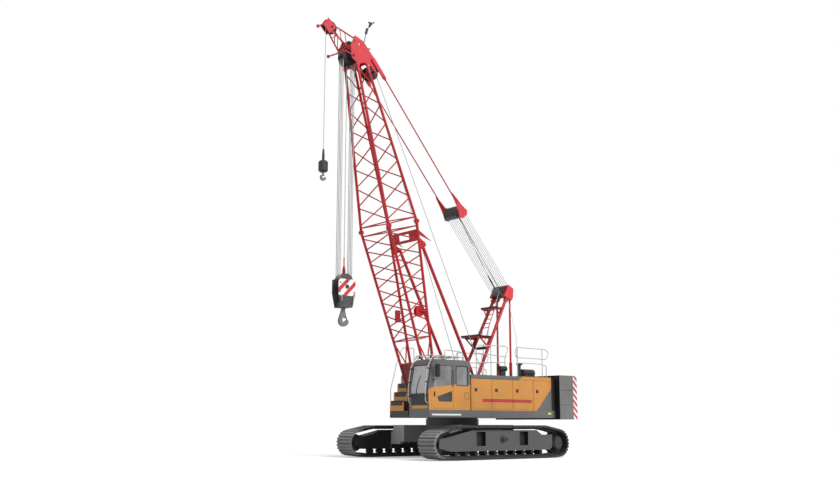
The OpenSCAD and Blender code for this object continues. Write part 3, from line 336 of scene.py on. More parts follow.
def track_steel():
    """Rolled and worn shoes: dark scale, brighter where the ground rubs the faces, and paler round the
    front, more so towards the top.
    """
    finish = Finish("track_steel")
    x, _, z = finish.axes()
    scale_black, rubbed = rgb(0.020, 0.020, 0.021), rgb(0.075, 0.074, 0.072)
    front_steel_low, front_steel_high = rgb(0.200, 0.200, 0.196), rgb(0.400, 0.400, 0.392)
    mud_brown = rgb(0.060, 0.052, 0.044)
    wrap_from, wrap_soft, light_from, light_soft = 2.45, 0.5, 0.60, 0.4
    broad, fine = finish.noise(2.2, 4.0), finish.noise(46.0, 6.0)
    rub = (fine * 0.7 + broad * 0.6).above(0.70, 0.16)
    mud = (broad * 0.9 + fine * 0.4).above(0.74, 0.2) * 0.35
    worn = x.above(wrap_from, wrap_soft) * (0.15 + fine * 1.1).least(1.0)
    # The steel round the front is paler towards the top.
    front_steel = finish.mixed(z.above(light_from, light_soft), front_steel_low, front_steel_high)
    base = finish.mixed(worn, finish.mixed(rub * 0.75, scale_black, rubbed), front_steel)
    finish.set(Base_Color=finish.mixed(mud, base, mud_brown),
               Roughness=0.62 - rub * 0.22 + mud * 0.3, Metallic=rub * 0.6)
    finish.bump(finish.noise(60.0, 6.0), 0.35, 0.004)
    return finish.material


def bright_steel():
    """Turned pins: a fine grain across the axis."""
    finish = Finish("pin_steel")
    grain = finish.noise(120.0, 3.0, finish.stretched(1.0, 0.05, 1.0))
    finish.set(Base_Color=finish.mixed(grain, rgb(0.30, 0.30, 0.30), rgb(0.48, 0.48, 0.47)),
               Roughness=0.28 + grain * 0.2, Metallic=1.0)
    return finish.material


def rope_steel():
    """Laid wire: strands turn round the rope, so the tone runs in slanting bands."""
    finish = Finish("wire_rope")
    x, y, z = finish.axes()
    groove, grease = rgb(0.200, 0.200, 0.198), rgb(0.160, 0.150, 0.140)
    lays_per_metre, slant = 26.0, 90.0
    lay = ((z * lays_per_metre + x * slant + y * slant) % 1.0 - 0.5).size() * 2.0
    greased = finish.noise(3.0, 3.0).above(0.5, 0.3) * 0.3
    base = finish.mixed(lay * 0.55, rope_grey, groove)
    finish.set(Base_Color=finish.mixed(greased, base, grease), Roughness=0.42 + lay * 0.2, Metallic=0.55)
    finish.bump(lay, 0.4, 0.004)
    return finish.material


def black_steel():
    """Black fittings, rubbed grey in places."""
    finish = Finish("black_steel")
    fine = finish.noise(55.0, 5.0)
    wear = (fine + finish.noise(4.0, 3.0) * 0.5).above(0.86, 0.15)
    finish.set(Base_Color=finish.mixed(wear * 0.7, rgb(0.014, 0.014, 0.015), rgb(0.055, 0.054, 0.052)),
               Roughness=0.46 + fine * 0.2, Metallic=wear * 0.4)
    finish.bump(fine, 0.12, 0.002)
    return finish.material


def tinted_glass():
    """Tinted panes: the windscreen paler, the low pane of the door dark."""
    finish = Finish("tinted_glass")
    x, y, z = finish.axes()
    deep, pale, screen_tint = rgb(0.150, 0.155, 0.160), rgb(0.340, 0.345, 0.355), rgb(0.600, 0.595, 0.610)
    screen_from, low_pane_top, door_from, soft = 2.30, 2.25, 1.60, 0.01
    streak = finish.noise(1.1, 2.0, finish.stretched(1.6, 1.6, 0.7, (0.0, 0.5, 0.0)))
    screen = x.above(screen_from, soft)
    low_pane = (1.0 - z.above(low_pane_top, soft)) * y.above(door_from, soft) * (1.0 - screen)
    base = finish.mixed(streak.above(0.35, 0.4), deep, pale)
    base = finish.mixed(screen * 0.8, base, screen_tint)
    base = finish.mixed(low_pane * 0.85, base, black_and_painted_shade)
    finish.set(Base_Color=base, Roughness=0.05 + streak * 0.04 + low_pane * 0.4,
               Alpha=0.80 - streak * 0.14 + low_pane * 0.15)
    finish.set(Coat_Weight=0.5 - low_pane * 0.5, Specular_IOR_Level=0.45)
    return finish.material


def rail_paint():
    """Light grey tube with a faint vertical streak."""
    finish = Finish("rail_grey")
    streak = finish.noise(14.0, 4.0, finish.stretched(1.0, 1.0, 0.2))
    finish.set(Base_Color=finish.mixed(streak, rgb(0.36, 0.36, 0.36), rgb(0.52, 0.52, 0.51)),
               Roughness=0.36 + streak * 0.12, Metallic=0.25)
    return finish.material


def striped_block():
    """Hook block: slanting red and white bars on the upper cheeks, dark grey below and inside."""
    finish = Finish("block_bars")
    x, y, z = finish.axes()
    cheek_inner, cheek_outer, bars_base, bar_pitch, bar_from, bar_to = 0.190, 0.2005, 5.30, 0.40, 0.04, 0.22
    cheek = y.size().above(cheek_inner) * z.above(bars_base) * (1.0 - y.size().above(cheek_outer))
    bars = ((x + z) % bar_pitch).within(bar_from, bar_to, 0.006)
    scuff = finish.noise(30.0, 5.0)
    steel = finish.mixed(scuff, rgb(0.030, 0.030, 0.031), rgb(0.075, 0.075, 0.074))
    base = finish.mixed(cheek, steel, finish.mixed(bars, white, signal_red))
    worn = (scuff - 0.6).above(0.0, 0.2) * 0.3
    finish.set(Base_Color=finish.mixed(worn, base, black_and_painted_shade), Roughness=0.42 + scuff * 0.2)
    return finish.material


def glow(name, colour, dim):
    """Lamp lens or reflector: fine prisms in a clear face."""
    finish = Finish(name)
    x, y, z = finish.axes()
    prisms_per_metre = 60.0
    across = ((x * prisms_per_metre + y * prisms_per_metre) % 1.0 - 0.5).size()
    prism = across * ((z * prisms_per_metre) % 1.0 - 0.5).size() * 4.0
    finish.set(Base_Color=finish.mixed(prism * 0.4, colour, dim), Roughness=0.12 + prism * 0.1)
    finish.set(Coat_Weight=0.6)
    return finish.material


def seat_cloth():
    """Woven cover of the operator's seat."""
    finish = Finish("seat_cloth")
    x, y, z = finish.axes()
    threads_per_metre = 420.0
    weft = ((y * threads_per_metre + z * threads_per_metre) % 1.0 - 0.5).size()
    weave = ((x * threads_per_metre) % 1.0 - 0.5).size() * weft
    finish.set(Base_Color=finish.mixed(weave * 3.0, rgb(0.020, 0.021, 0.023), rgb(0.070, 0.072, 0.076)),
               Roughness=0.86)
    finish.bump(weave, 0.5, 0.002)
    return finish.material


paints = {
    "red": red_paint(),
    "orange": orange_paint(),
    "deck": deck_paint(),
    "frame": frame_paint(),
    "band": plain_paint("band_grey", mid_grey, 0.4, 0.25, 0.06),
    "hook": plain_paint("hook_grey", hook_grey, 0.5, 0.1, 0.1),
    "slab": counterweight_paint(),
    "track": track_steel(),
    "pin": bright_steel(),
    "rope": rope_steel(),
    "black": black_steel(),
    "glass": tinted_glass(),
    "cloth": seat_cloth(),
    "rail": rail_paint(),
    "bars": striped_block(),
    "lens": glow("lamp_lens", rgb(0.80, 0.80, 0.78), rgb(0.55, 0.55, 0.54)),
    "yellow": glow("reflector_yellow", rgb(0.80, 0.62, 0.02), rgb(0.55, 0.40, 0.01)),
}

finish_of = {"grey_paint": "deck", "track_steel": "track", "orange_paint": "orange", "glass": "glass",
             "seat_fabric": "cloth", "pin_steel": "pin", "dark_paint": "black", "red_paint": "red",
             "rope_steel": "rope"}
own_finish = {"carbody": "frame", "side_frame_left": "frame", "side_frame_right": "frame",
              "slew_ring": "frame", "counterweight": "slab", "hook_block": "bars",
              "main_hook": "hook", "aux_hook": "hook"}


def dress(node, paint):
    data = frame["nodes"][node].data
    data.materials.clear()
    data.materials.append(paints[paint])


for part in frame["record"]["subparts"]:
    dress(part["node"], own_finish.get(part["node"], finish_of[part["material_slot"]]))


# Making of pieces

def add(piece, paint):
    """Links a new piece with its paint."""
    piece.data.materials.append(paints[paint])
    scene.collection.objects.link(piece)
    return piece


def solid(name, bm, paint, body=None):
    """Closes a bmesh into a piece, which rides on a body where one is given."""
    bmesh.ops.remove_doubles(bm, verts=bm.verts, dist=0.00005)
    bmesh.ops.recalc_face_normals(bm, faces=bm.faces)
    data = bpy.data.meshes.new(name)
    bm.to_mesh(data)
    bm.free()
    piece = add(bpy.data.objects.new(name, data), paint)
    if body:
        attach(piece, body)
    return piece


def box(bm, low, high, edge=0.006):
    """Box between two corners, with its edges rounded."""
    low, high = Vector(low), Vector(high)
    place = Matrix.Translation((low + high) / 2) @ Matrix.Diagonal((*(high - low), 1.0))
    made = bmesh.ops.create_cube(bm, size=1.0, matrix=place)
    edges = list({e for v in made["verts"] for e in v.link_edges})
    bmesh.ops.bevel(bm, geom=edges, offset=edge, segments=2, profile=0.5, affect="EDGES", material=-1)


def rod(bm, a, b, radius, end=None, segments=14):
    """Round bar from a to b, which tapers where an end radius is given."""
    a, b = Vector(a), Vector(b)
    place = Matrix.Translation((a + b) / 2) @ (b - a).to_track_quat("Z", "Y").to_matrix().to_4x4()
    bmesh.ops.create_cone(bm, cap_ends=True, segments=segments, radius1=radius,
                          radius2=radius if end is None else end, depth=(b - a).length, matrix=place)


def slab(bm, outline, y0, y1, edge=0.004):
    """Plate with an outline in X and Z, from y0 to y1, with its edges rounded."""
    face = bm.faces.new([bm.verts.new((x, y0, z)) for x, z in outline])
    grown = bmesh.ops.extrude_face_region(bm, geom=[face])["geom"]
    tops = [g for g in grown if isinstance(g, bmesh.types.BMVert)]
    bmesh.ops.translate(bm, verts=tops, vec=(0.0, y1 - y0, 0.0))
    edges = list({e for v in list(face.verts) + tops for e in v.link_edges})
    bmesh.ops.bevel(bm, geom=edges, offset=edge, segments=2, profile=0.5, affect="EDGES", material=-1)


def bent(run):
    """Points of a run with each inner corner drawn as a short curve."""
    bend, steps, longest_share = 0.07, 4, 0.45
    points = [Vector(p) for p in run]
    path = [points[0]]
    for before, corner, after in zip(points, points[1:], points[2:]):
        back, on = before - corner, after - corner
        start = corner + back.normalized() * min(bend, back.length * longest_share)
        end = corner + on.normalized() * min(bend, on.length * longest_share)
        for i in range(steps + 1):
            share = i / steps
            path.append(start.lerp(corner, share).lerp(corner.lerp(end, share), share))
    return path + [points[-1]]


def rail(name, runs, radius, paint, body):
    """Bent tubes, one for each run of points."""
    data = bpy.data.curves.new(name, "CURVE")
    data.dimensions = "3D"
    data.bevel_depth, data.bevel_resolution, data.use_fill_caps = radius, 3, True
    for run in runs:
        points = bent(run)
        spline = data.splines.new("POLY")
        spline.points.add(len(points) - 1)
        for spot, point in zip(spline.points, points):
            spot.co = (*point, 1.0)
    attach(add(bpy.data.objects.new(name, data), paint), body)


# Rails and guards

house_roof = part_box("house_left")[1][2]
cab_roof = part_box("cab_shell")[1][2]
side_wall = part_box("cab_shell")[1][1]
deck_top = 1.60
rail_tube = 0.015


def roof_rails():
    """Safety rails along the outer and inner edges of the machine house roofs."""
    near, inner = 1.60, 0.80
    front, rear, return_x = -1.70, -2.96, -3.16
    inner_front, inner_middle, inner_rear = -0.45, -1.16, -1.86
    outer_top, outer_knee, foot_half, foot_thick = 3.82, 3.28, 0.05, 0.016
    outer = [[(-1.66, 3.47), (-1.58, 3.62), (-1.66, 3.83), (-3.12, 3.82), (-3.31, 3.72), (-3.18, 3.46),
              (-1.66, 3.47)],
             [(front, house_roof), (front, outer_top)],
             [(rear, house_roof), (rear, outer_top)],
             [(front, outer_knee), (rear, outer_knee)],
             [(rear, 3.25), (return_x, 3.23), (return_x, house_roof)]]
    within = [[(inner_front, house_roof), (inner_front, 3.90), (-1.90, 3.93), (-2.03, 3.84),
               (inner_rear, 3.50), (inner_rear, house_roof)],
              [(inner_front, 3.62), (-1.90, 3.55)],
              [(inner_front, 3.28), (inner_rear, 3.34)],
              [(inner_middle, house_roof), (inner_middle, 3.91)]]
    rail("roof_rails_left", [[(x, near, z) for x, z in run] for run in outer]
         + [[(x, inner, z) for x, z in run] for run in within], rail_tube, "rail", "upper")
    rail("roof_rails_right", [[(x, -near, z) for x, z in run] for run in outer], rail_tube, "rail", "upper")
    feet = [(x, y) for y in (near, -near) for x in (front, rear, return_x)]
    feet += [(x, inner) for x in (inner_front, inner_middle, inner_rear)]
    bm = bmesh.new()
    for x, y in feet:
        box(bm, (x - foot_half, y - foot_half, house_roof),
            (x + foot_half, y + foot_half, house_roof + foot_thick), 0.004)
    solid("rail_feet", bm, "band", "upper")


def cab_guard():
    """Tubes in front of the windscreen and the frame over the cab roof."""
    rows, middle, hoop_y = (0.76, 1.64), 1.20, 1.42
    rear, bar_height = 0.95, 3.37
    runs = [[(1.95, y, cab_roof), (1.98, y, 3.38), (2.25, y, 3.38), (2.50, y, 2.97), (2.60, y, 2.30),
             (2.58, y, 1.86), (2.46, y, 1.80)] for y in rows]
    runs.append([(2.27, y, 3.39) for y in rows])
    runs += [[(rear, y, cab_roof), (rear, y, 3.36), (2.05, y, 3.385)] for y in (*rows, middle)]
    runs += [[(x, y, bar_height) for y in rows] for x in (rear, 1.32, 1.69)]
    runs.append([(x, hoop_y, z) for x, z in ((1.56, cab_roof), (1.56, 3.60), (0.84, 3.57), (0.72, 3.44),
                                             (0.72, cab_roof))])
    rail("cab_guard", runs, rail_tube, "rail", "upper")
    behind, ahead, half_wide, half_high = 0.09, 0.06, 0.022, 0.02
    bm = bmesh.new()
    for y in rows:
        for x, z in ((2.46, 2.95), (2.53, 2.50), (2.54, 2.05)):
            box(bm, (x - behind, y - half_wide, z - half_high), (x + ahead, y + half_wide, z + half_high))
    solid("guard_clamps", bm, "black", "upper")


def mirror():
    """Cab mirror on its bent arm, with its glass on the rear."""
    arm_tube, arm_root, middle = 0.011, side_wall - 0.03, 1.90
    bm = bmesh.new()
    box(bm, (2.25, 1.78, 2.66), (2.31, 2.02, 3.08), 0.022)
    solid("cab_mirror", bm, "black", "upper")
    rail("mirror_arm", [[(2.33, arm_root, 3.18), (2.34, middle, 3.16), (2.29, middle, 2.60),
                         (2.36, arm_root, 2.55)]], arm_tube, "black", "upper")
    bm = bmesh.new()
    box(bm, (2.236, 1.80, 2.69), (2.252, 2.00, 3.05), 0.004)
    solid("mirror_glass", bm, "glass", "upper")


def screen_trim():
    """Rubber round the windscreen, the dark panel under it and the visor over it."""
    left, right, seal_tube = 0.775, 1.628, 0.017
    foot, knee, brow = (2.502, 2.12), (2.512, 2.30), (2.355, 3.06)
    rail("screen_seal", [[(x, y, z) for x, z in (foot, knee, brow)] for y in (left, right)]
         + [[(x, y, z) for y in (left, right)] for x, z in (foot, brow)], seal_tube, "black", "upper")
    bm = bmesh.new()
    slab(bm, [(2.466, 1.76), (2.487, 1.76), (2.513, 2.12), (2.492, 2.12)], 0.79, 1.61, 0.003)
    solid("lower_screen_panel", bm, "black", "upper")
    bm = bmesh.new()
    slab(bm, [(2.335, 3.10), (2.345, 3.165), (2.22, 3.262), (2.20, 3.255)], 0.73, 1.675, 0.003)
    solid("screen_visor", bm, "band", "upper")


def wipers():
    """Wiper on the windscreen and a short second arm beside its foot."""
    rail("wipers", [[(2.515, 1.05, 2.04), (2.515, 1.16, 2.50), (2.425, 1.20, 2.72)],
                    [(2.512, 1.42, 2.06), (2.512, 1.50, 2.14)]], 0.010, "black", "upper")


def wall_loop(rear, front, low, high):
    """Closed run round a rectangle on the side wall."""
    corners = ((rear, low), (front, low), (front, high), (rear, high), (rear, low))
    return [(x, side_wall, z) for x, z in corners]


def cab_trim():
    """Seam of the flap, seal of the rear window, handle and grab bar of the door, and roof lamps."""
    rail("flap_seam", [wall_loop(0.74, 0.93, 1.96, 2.19)], 0.006, "black", "upper")
    rail("window_seal", [wall_loop(0.78, 1.30, 2.41, 3.06)], 0.013, "black", "upper")
    bm = bmesh.new()
    box(bm, (2.235, side_wall, 2.03), (2.275, side_wall + 0.032, 2.20), 0.012)
    solid("door_handle", bm, "black", "cab_door")
    grab_x, grab_y = 1.47, side_wall + 0.05
    rail("door_grab", [[(grab_x, side_wall, 2.36), (grab_x, grab_y, 2.40), (grab_x, grab_y, 2.86),
                        (grab_x, side_wall, 2.90)]], 0.011, "black", "cab_door")
    lamp_rows, lamp_half, lens_half = (0.92, 1.50), 0.075, 0.062
    bm = bmesh.new()
    for y in lamp_rows:
        box(bm, (2.26, y - lamp_half, 3.28), (2.33, y + lamp_half, 3.38), 0.016)
    solid("roof_lamps", bm, "black", "upper")
    bm = bmesh.new()
    for y in lamp_rows:
        box(bm, (2.325, y - lens_half, 3.292), (2.338, y + lens_half, 3.368), 0.005)
    solid("roof_lamp_lenses", bm, "lens", "upper")


def deck_trim():
    """Light strip under the cab, reflectors at the tail and latches of the doors."""
    sunk = 0.004
    bm = bmesh.new()
    box(bm, (1.10, side_wall - sunk, 1.42), (2.36, side_wall + 0.016, 1.472), 0.004)
    solid("light_strip", bm, "lens", "upper")
    bm = bmesh.new()
    for m in (-1, 1):
        y0, y1 = sorted((m * (side_wall - sunk), m * (side_wall + 0.014)))
        box(bm, (-3.25, y0, 1.48), (-3.09, y1, 1.54), 0.004)
    solid("side_reflectors", bm, "yellow", "upper")
    half, low, high, cut = 0.052, 2.235, 2.345, 0.015
    for body, x, m in [("house_door_left_1", 0.41, 1), ("house_door_left_2", -0.55, 1),
                       ("house_door_left_3", -1.56, 1), ("house_door_left_4", -2.56, 1),
                       ("house_door_right_1", 0.41, -1), ("house_door_right_2", -0.90, -1),
                       ("house_door_right_3", -2.22, -1)]:
        bm = bmesh.new()
        y0, y1 = sorted((m * (side_wall - sunk), m * (side_wall + 0.018)))
        slab(bm, [(x + half, low + cut), (x + half - cut, low), (x - half, low), (x - half, high),
                  (x + half, high)], y0, y1)
        solid("latch_" + body, bm, "black", body)


def frame_hubs():
    """Black hub on the boss of each side frame, with a smaller plug behind it."""
    boss_face, height, plug_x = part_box("side_frame_left")[1][1], 0.640, -0.165
    bm = bmesh.new()
    for x, inner, outer, radius, end, segments in ((0.0, -0.009, 0.031, 0.104, 0.092, 24),
                                                   (0.0, 0.025, 0.053, 0.058, 0.052, 20),
                                                   (plug_x, -0.036, 0.009, 0.056, 0.050, 20)):
        for m in (-1, 1):
            rod(bm, (x, m * (boss_face + inner), height), (x, m * (boss_face + outer), height), radius, end,
                segments)
    solid("frame_hubs", bm, "black", "undercarriage")


def step_treads():
    """Black treads with a toothed front on the orange steps, a band under each, and the rail beside them."""
    low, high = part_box("right_steps")
    count, tread_outer, tread_inner, tread_thick = 4, -1.66, -0.94, 0.03
    tooth_count, tooth_first, tooth_pitch, tooth_half = 9, -1.62, 0.08, 0.022
    band_inset, band_high = 0.04, 0.12
    run, rise = (high[0] - low[0]) / (count + 1), (high[2] - deck_top) / count
    bm = bmesh.new()
    for i in range(count):
        x, z = high[0] - run * i, deck_top + rise * (i + 1)
        box(bm, (x - run, tread_outer, z), (x + 0.02, tread_inner, z + tread_thick))
        for k in range(tooth_count):
            y = tooth_first + k * tooth_pitch
            box(bm, (x - 0.02, y - tooth_half, z + 0.026), (x + 0.026, y + tooth_half, z + 0.05), 0.005)
        box(bm, (x - 0.006, tread_outer + band_inset, z - band_high),
            (x + 0.012, tread_inner - band_inset, z + 0.006), 0.003)
    solid("step_treads", bm, "black", "upper")
    rail("step_rail", [[(x, tread_outer, z) for x, z in (
        (1.46, 1.92), (1.48, 2.36), (1.22, 3.26), (0.95, 3.88), (0.40, 3.88), (0.40, house_roof))]],
        rail_tube, "rail", "upper")


# Gantry

def gantry_access():
    """Ladder between the platforms, gratings on them, the lamp cable and the rope guides on the legs."""
    grating, lip_inner, lip_outer, lip_high = 0.022, 0.02, 0.012, 0.06
    bm = bmesh.new()
    for low, high, top in (((-1.53, -0.53), (-0.92, 0.53), 4.28), ((-2.13, -0.44), (-1.85, 0.44), 5.38)):
        box(bm, (*low, top), (*high, top + grating), 0.004)
        box(bm, (high[0] - lip_inner, low[1], top), (high[0] + lip_outer, high[1], top + lip_high), 0.004)
    solid("platform_gratings", bm, "black", "upper")
    rows, rung_count, rung_pitch_share = (0.03, 0.35), 4, 1 / 4.6
    foot, knee, head = Vector((-1.44, 4.30)), Vector((-1.48, 4.62)), Vector((-1.83, 5.38))
    runs = [[(x, y, z) for x, z in (foot, knee, head)] for y in rows]
    for i in range(1, rung_count + 1):
        x, z = knee.lerp(head, i * rung_pitch_share)
        runs.append([(x, y, z) for y in rows])
    runs.append([(knee.x, y, knee.y) for y in rows])
    rail("gantry_ladder", runs, 0.014, "red", "upper")
    rail("gantry_cable", [[(-2.45, 0.42, 5.70), (-2.45, 0.80, 4.30), (-2.48, 0.80, 3.30),
                           (-2.48, 0.80, house_roof)]], 0.009, "rail", "upper")
    guide_x, guide_z, roller_half, bar_half = -1.42, 3.88, 0.045, 0.405
    bm = bmesh.new()
    for y in (-0.21, -0.07, 0.07, 0.21):
        rod(bm, (guide_x, y - roller_half, guide_z), (guide_x, y + roller_half, guide_z), 0.055)
    rod(bm, (guide_x, -bar_half, guide_z), (guide_x, bar_half, guide_z), 0.02)
    solid("rope_guides", bm, "black", "upper")


# Boom

def head_fittings():
    """Wind vane on its pole, the guard bars in front of the sheaves and the rods that point forward."""
    rail("vane_pole", [[(4.03, 0.0, 14.00), (4.02, 0.0, 14.39), (3.91, 0.0, 14.82), (3.74, 0.0, 15.12)]],
         0.014, "black", "boom")
    vane_x, vane_z, arm_count, arm_length, cup = 3.72, 15.17, 3, 0.10, 0.03
    bm = bmesh.new()
    rod(bm, (3.94, 0.0, 14.72), (3.89, 0.0, 14.92), 0.045)
    rod(bm, (3.80, 0.0, 15.02), (vane_x, 0.0, vane_z), 0.035, 0.06)
    for k in range(arm_count):
        turn = 2 * math.pi * k / arm_count
        tip = Vector((vane_x + arm_length * math.cos(turn), arm_length * math.sin(turn), vane_z))
        rod(bm, (vane_x, 0.0, vane_z - 0.005), tip, 0.006)
        place = Matrix.Translation(tip)
        bmesh.ops.create_uvsphere(bm, u_segments=12, v_segments=8, radius=cup, matrix=place)
    solid("wind_vane", bm, "black", "boom")
    clamp_x, clamp_bar = 4.03, 0.37
    bm = bmesh.new()
    rod(bm, (clamp_x, -clamp_bar, 14.02), (clamp_x, clamp_bar, 14.02), 0.024)
    box(bm, (clamp_x - 0.04, -0.03, 13.97), (clamp_x + 0.04, 0.03, 14.09), 0.008)
    solid("pole_clamp", bm, "red", "boom")
    lower_rod_y, tip_x, tip_z, tip_half = -0.10, 5.77, 14.565, 0.09
    rail("sheave_guard", [[(4.80, 0.375, 13.62), (5.12, 0.375, 13.70), (5.12, lower_rod_y, 13.70),
                           (5.45, lower_rod_y, 13.52)],
                          [(tip_x, -tip_half, tip_z), (tip_x, tip_half, tip_z)],
                          [(tip_x, 0.0, tip_z), (5.96, 0.0, 14.46)]], 0.026, "red", "boom")
    bm = bmesh.new()
    rod(bm, (5.43, lower_rod_y, 13.526), (5.47, lower_rod_y, 13.514), 0.06)
    rod(bm, (5.94, 0.0, 14.471), (5.975, 0.0, 14.452), 0.06)
    solid("rod_ends", bm, "red", "boom")


def boom_fittings():
    """Cable reel inside the near rear chord and a red box at the far one, each on its bracket."""
    x, z = 1.95, 4.96
    bm = bmesh.new()
    for y0, y1, radius, segments in ((0.47, 0.482, 0.19, 28), (0.582, 0.594, 0.19, 28),
                                     (0.476, 0.588, 0.115, 24), (0.44, 0.62, 0.035, 14)):
        rod(bm, (x, y0, z), (x, y1, z), radius, None, segments)
    box(bm, (1.90, -0.66, 4.66), (2.08, -0.56, 5.08), 0.012)
    solid("boom_reel_and_box", bm, "red", "boom")
    rail("reel_brackets", [[(x, 0.60, z), (x, 0.66, z), (1.716, 0.682, z)],
                           [(1.92, -0.61, 4.74), (1.675, -0.674, 4.74)],
                           [(1.92, -0.61, 5.00), (1.722, -0.684, 5.00)]], 0.022, "red", "boom")


# Hooks

def hook_fittings():
    """Nuts, rope socket and handles of the hook block, and the neck and latch of the main hook."""
    low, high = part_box("hook_block")
    x = (low[0] + high[0]) / 2
    pin_z, bolt = 5.60, 0.026
    bm = bmesh.new()
    for m in (-1, 1):
        rod(bm, (x, m * 0.195, pin_z), (x, m * 0.235, pin_z), 0.075, 0.065, 6)
        for off, z in ((0.27, 5.72), (0.28, 5.42), (0.18, 5.05)):
            for s in (-1, 1):
                rod(bm, (x + s * off, m * 0.197, z), (x + s * off, m * 0.214, z), bolt, bolt, 6)
    solid("block_nuts", bm, "black", "hook_block")
    bm = bmesh.new()
    for base, top, radius, end in ((6.02, 6.14, 0.035, 0.06), (6.14, 6.30, 0.06, 0.035),
                                   (6.29, 6.60, 0.020, None)):
        rod(bm, (x, 0.0, base), (x, 0.0, top), radius, end)
    box(bm, (x - 0.10, -0.012, 5.80), (x + 0.10, 0.012, 6.06), 0.004)
    solid("rope_socket", bm, "red", "hook_block")
    bm = bmesh.new()
    slab(bm, [(4.698, 4.95), (4.778, 4.95), (4.830, 4.78), (4.900, 4.60), (4.800, 4.58), (4.738, 4.64),
              (4.680, 4.66), (4.655, 4.72), (4.690, 4.80)], -0.05, 0.05, 0.012)
    solid("hook_neck", bm, "hook", "main_hook")
    bm = bmesh.new()
    slab(bm, [(4.672, 4.70), (4.652, 4.705), (4.570, 4.50), (4.592, 4.495)], -0.02, 0.02)
    solid("hook_latch", bm, "black", "main_hook")
    cheek, reach = 0.19, 0.25
    rail("block_handles", [[(x + s * 0.25, m * cheek, 5.30), (x + s * 0.25, m * reach, 5.29),
                            (x + s * 0.22, m * reach, 5.12), (x + s * 0.22, m * cheek, 5.11)]
                           for m in (-1, 1) for s in (-1, 1)], 0.012, "rail", "hook_block")


# Ropes

rope_half, thin_rope_half = 0.013, 0.011
luff_way = Vector((0.64669, 0.0, 0.76276))
luff_across = Vector((0.76276, 0.0, -0.64669))


def line(name, runs, radius, paint="rope"):
    """Straight ropes from point to point, as one mesh without a body yet."""
    bm = bmesh.new()
    for a, b, lengths in runs:
        before = set(bm.edges)
        rod(bm, a, b, radius, None, 8)
        if lengths > 1:
            sides = [e for e in bm.edges if e not in before and e.calc_length() > radius * 4]
            bmesh.ops.subdivide_edges(bm, edges=sides, cuts=lengths - 1)
    return solid(name, bm, paint)


def hoist_ropes():
    """Falls of the main hook with their dead end, and the line of the auxiliary hook."""
    low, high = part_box("hoist_falls")
    x0, x1 = low[0] + rope_half, high[0] - rope_half
    runs = [((x, y, low[2]), (x, y, high[2]), 1) for x in (x0, x1) for y in (-0.12, -0.04, 0.04, 0.12)]
    middle_x = (x0 + x1) / 2
    runs.append(((middle_x, 0.0, 6.28), (middle_x, 0.0, high[2] - 0.30), 1))
    falls = line("main_falls", runs, rope_half)
    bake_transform(falls)
    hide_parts("hoist_falls")
    low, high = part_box("aux_rope")
    x = (low[0] + high[0]) / 2
    single = line("aux_fall", [((x, 0.0, low[2]), (x, 0.0, high[2]), 1)], rope_half)
    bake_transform(single)
    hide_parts("aux_rope")


def luffing_falls():
    """Falls between the gantry head and the equaliser."""
    way, length, sheave, pitch, first, per_side = luff_way, 3.605, 0.2433, 0.094, -0.235, 6
    start = Vector((-2.502, 0.0, 6.042))
    end = start + way * length
    runs = []
    for i in range(per_side):
        for m in (-1, 1):
            off = Vector((0.0, first + pitch * i, 0.0)) + luff_across * sheave * m
            runs.append((start + off, end + off, 1))
    falls = line("luffing_falls", runs, 0.008)
    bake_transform(falls)
    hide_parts("luffing_ropes")
    clear = way * 0.24
    dead = [start + Vector((0.0, y, 0.0)) + clear for y in (-0.22, 0.0)]
    ends = [end + Vector((0.0, y, 0.0)) - clear for y in (0.08, 0.11)]
    tails = line("luffing_dead_lines", [(a, b, 1) for a, b in zip(dead, ends)], 0.010, "black")
    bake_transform(tails)
    bm = bmesh.new()
    rod(bm, dead[0], dead[0].lerp(ends[0], 0.18), 0.030, 0.018)
    solid("dead_line_socket", bm, "black", "luff_line")


def pendant_links():
    """Pointed plates that join the pendants to the equaliser."""
    hub, root, point, root_half, point_half = Vector((-0.171, 0.0, 8.792)), 0.05, 0.80, 0.15, 0.025
    spots = [hub + luff_way * far + luff_across * wide for far, wide in
             ((root, root_half), (point, point_half), (point, -point_half), (root, -root_half))]
    bm = bmesh.new()
    for y0, y1 in ((0.425, 0.445), (-0.445, -0.425)):
        slab(bm, [(spot.x, spot.z) for spot in spots], y0, y1)
    solid("pendant_links", bm, "red", "pendants")


def winch_ropes():
    """Lines from two winches up the boom to their guide sheaves, and the luffing line to its winch."""
    for name, foot, head in (("main_hoist_line", (-1.83, 0.05, 2.12), (3.551, 0.09, 13.25)),
                             ("aux_hoist_line", (-0.45, 0.20, 2.12), (3.585, -0.09, 13.20))):
        hoist = line(name, [(foot, head, 40)], thin_rope_half)
        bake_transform(hoist)
    lead_y = 0.12
    top, guide, drum = (-2.27, lead_y, 6.02), (-1.42, lead_y, 3.94), (-1.46, lead_y, 2.05)
    luff = line("luff_lead", [(top, guide, 1), (guide, drum, 1)], thin_rope_half)
    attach(luff, "upper")


roof_rails()
cab_guard()
mirror()
screen_trim()
wipers()
cab_trim()
deck_trim()
frame_hubs()
step_treads()
gantry_access()
head_fittings()
boom_fittings()
hook_fittings()
hoist_ropes()
luffing_falls()
pendant_links()
winch_ropes()


# Stage and light

def join(tree, pairs):
    for source, sink in pairs:
        tree.links.new(source, sink)


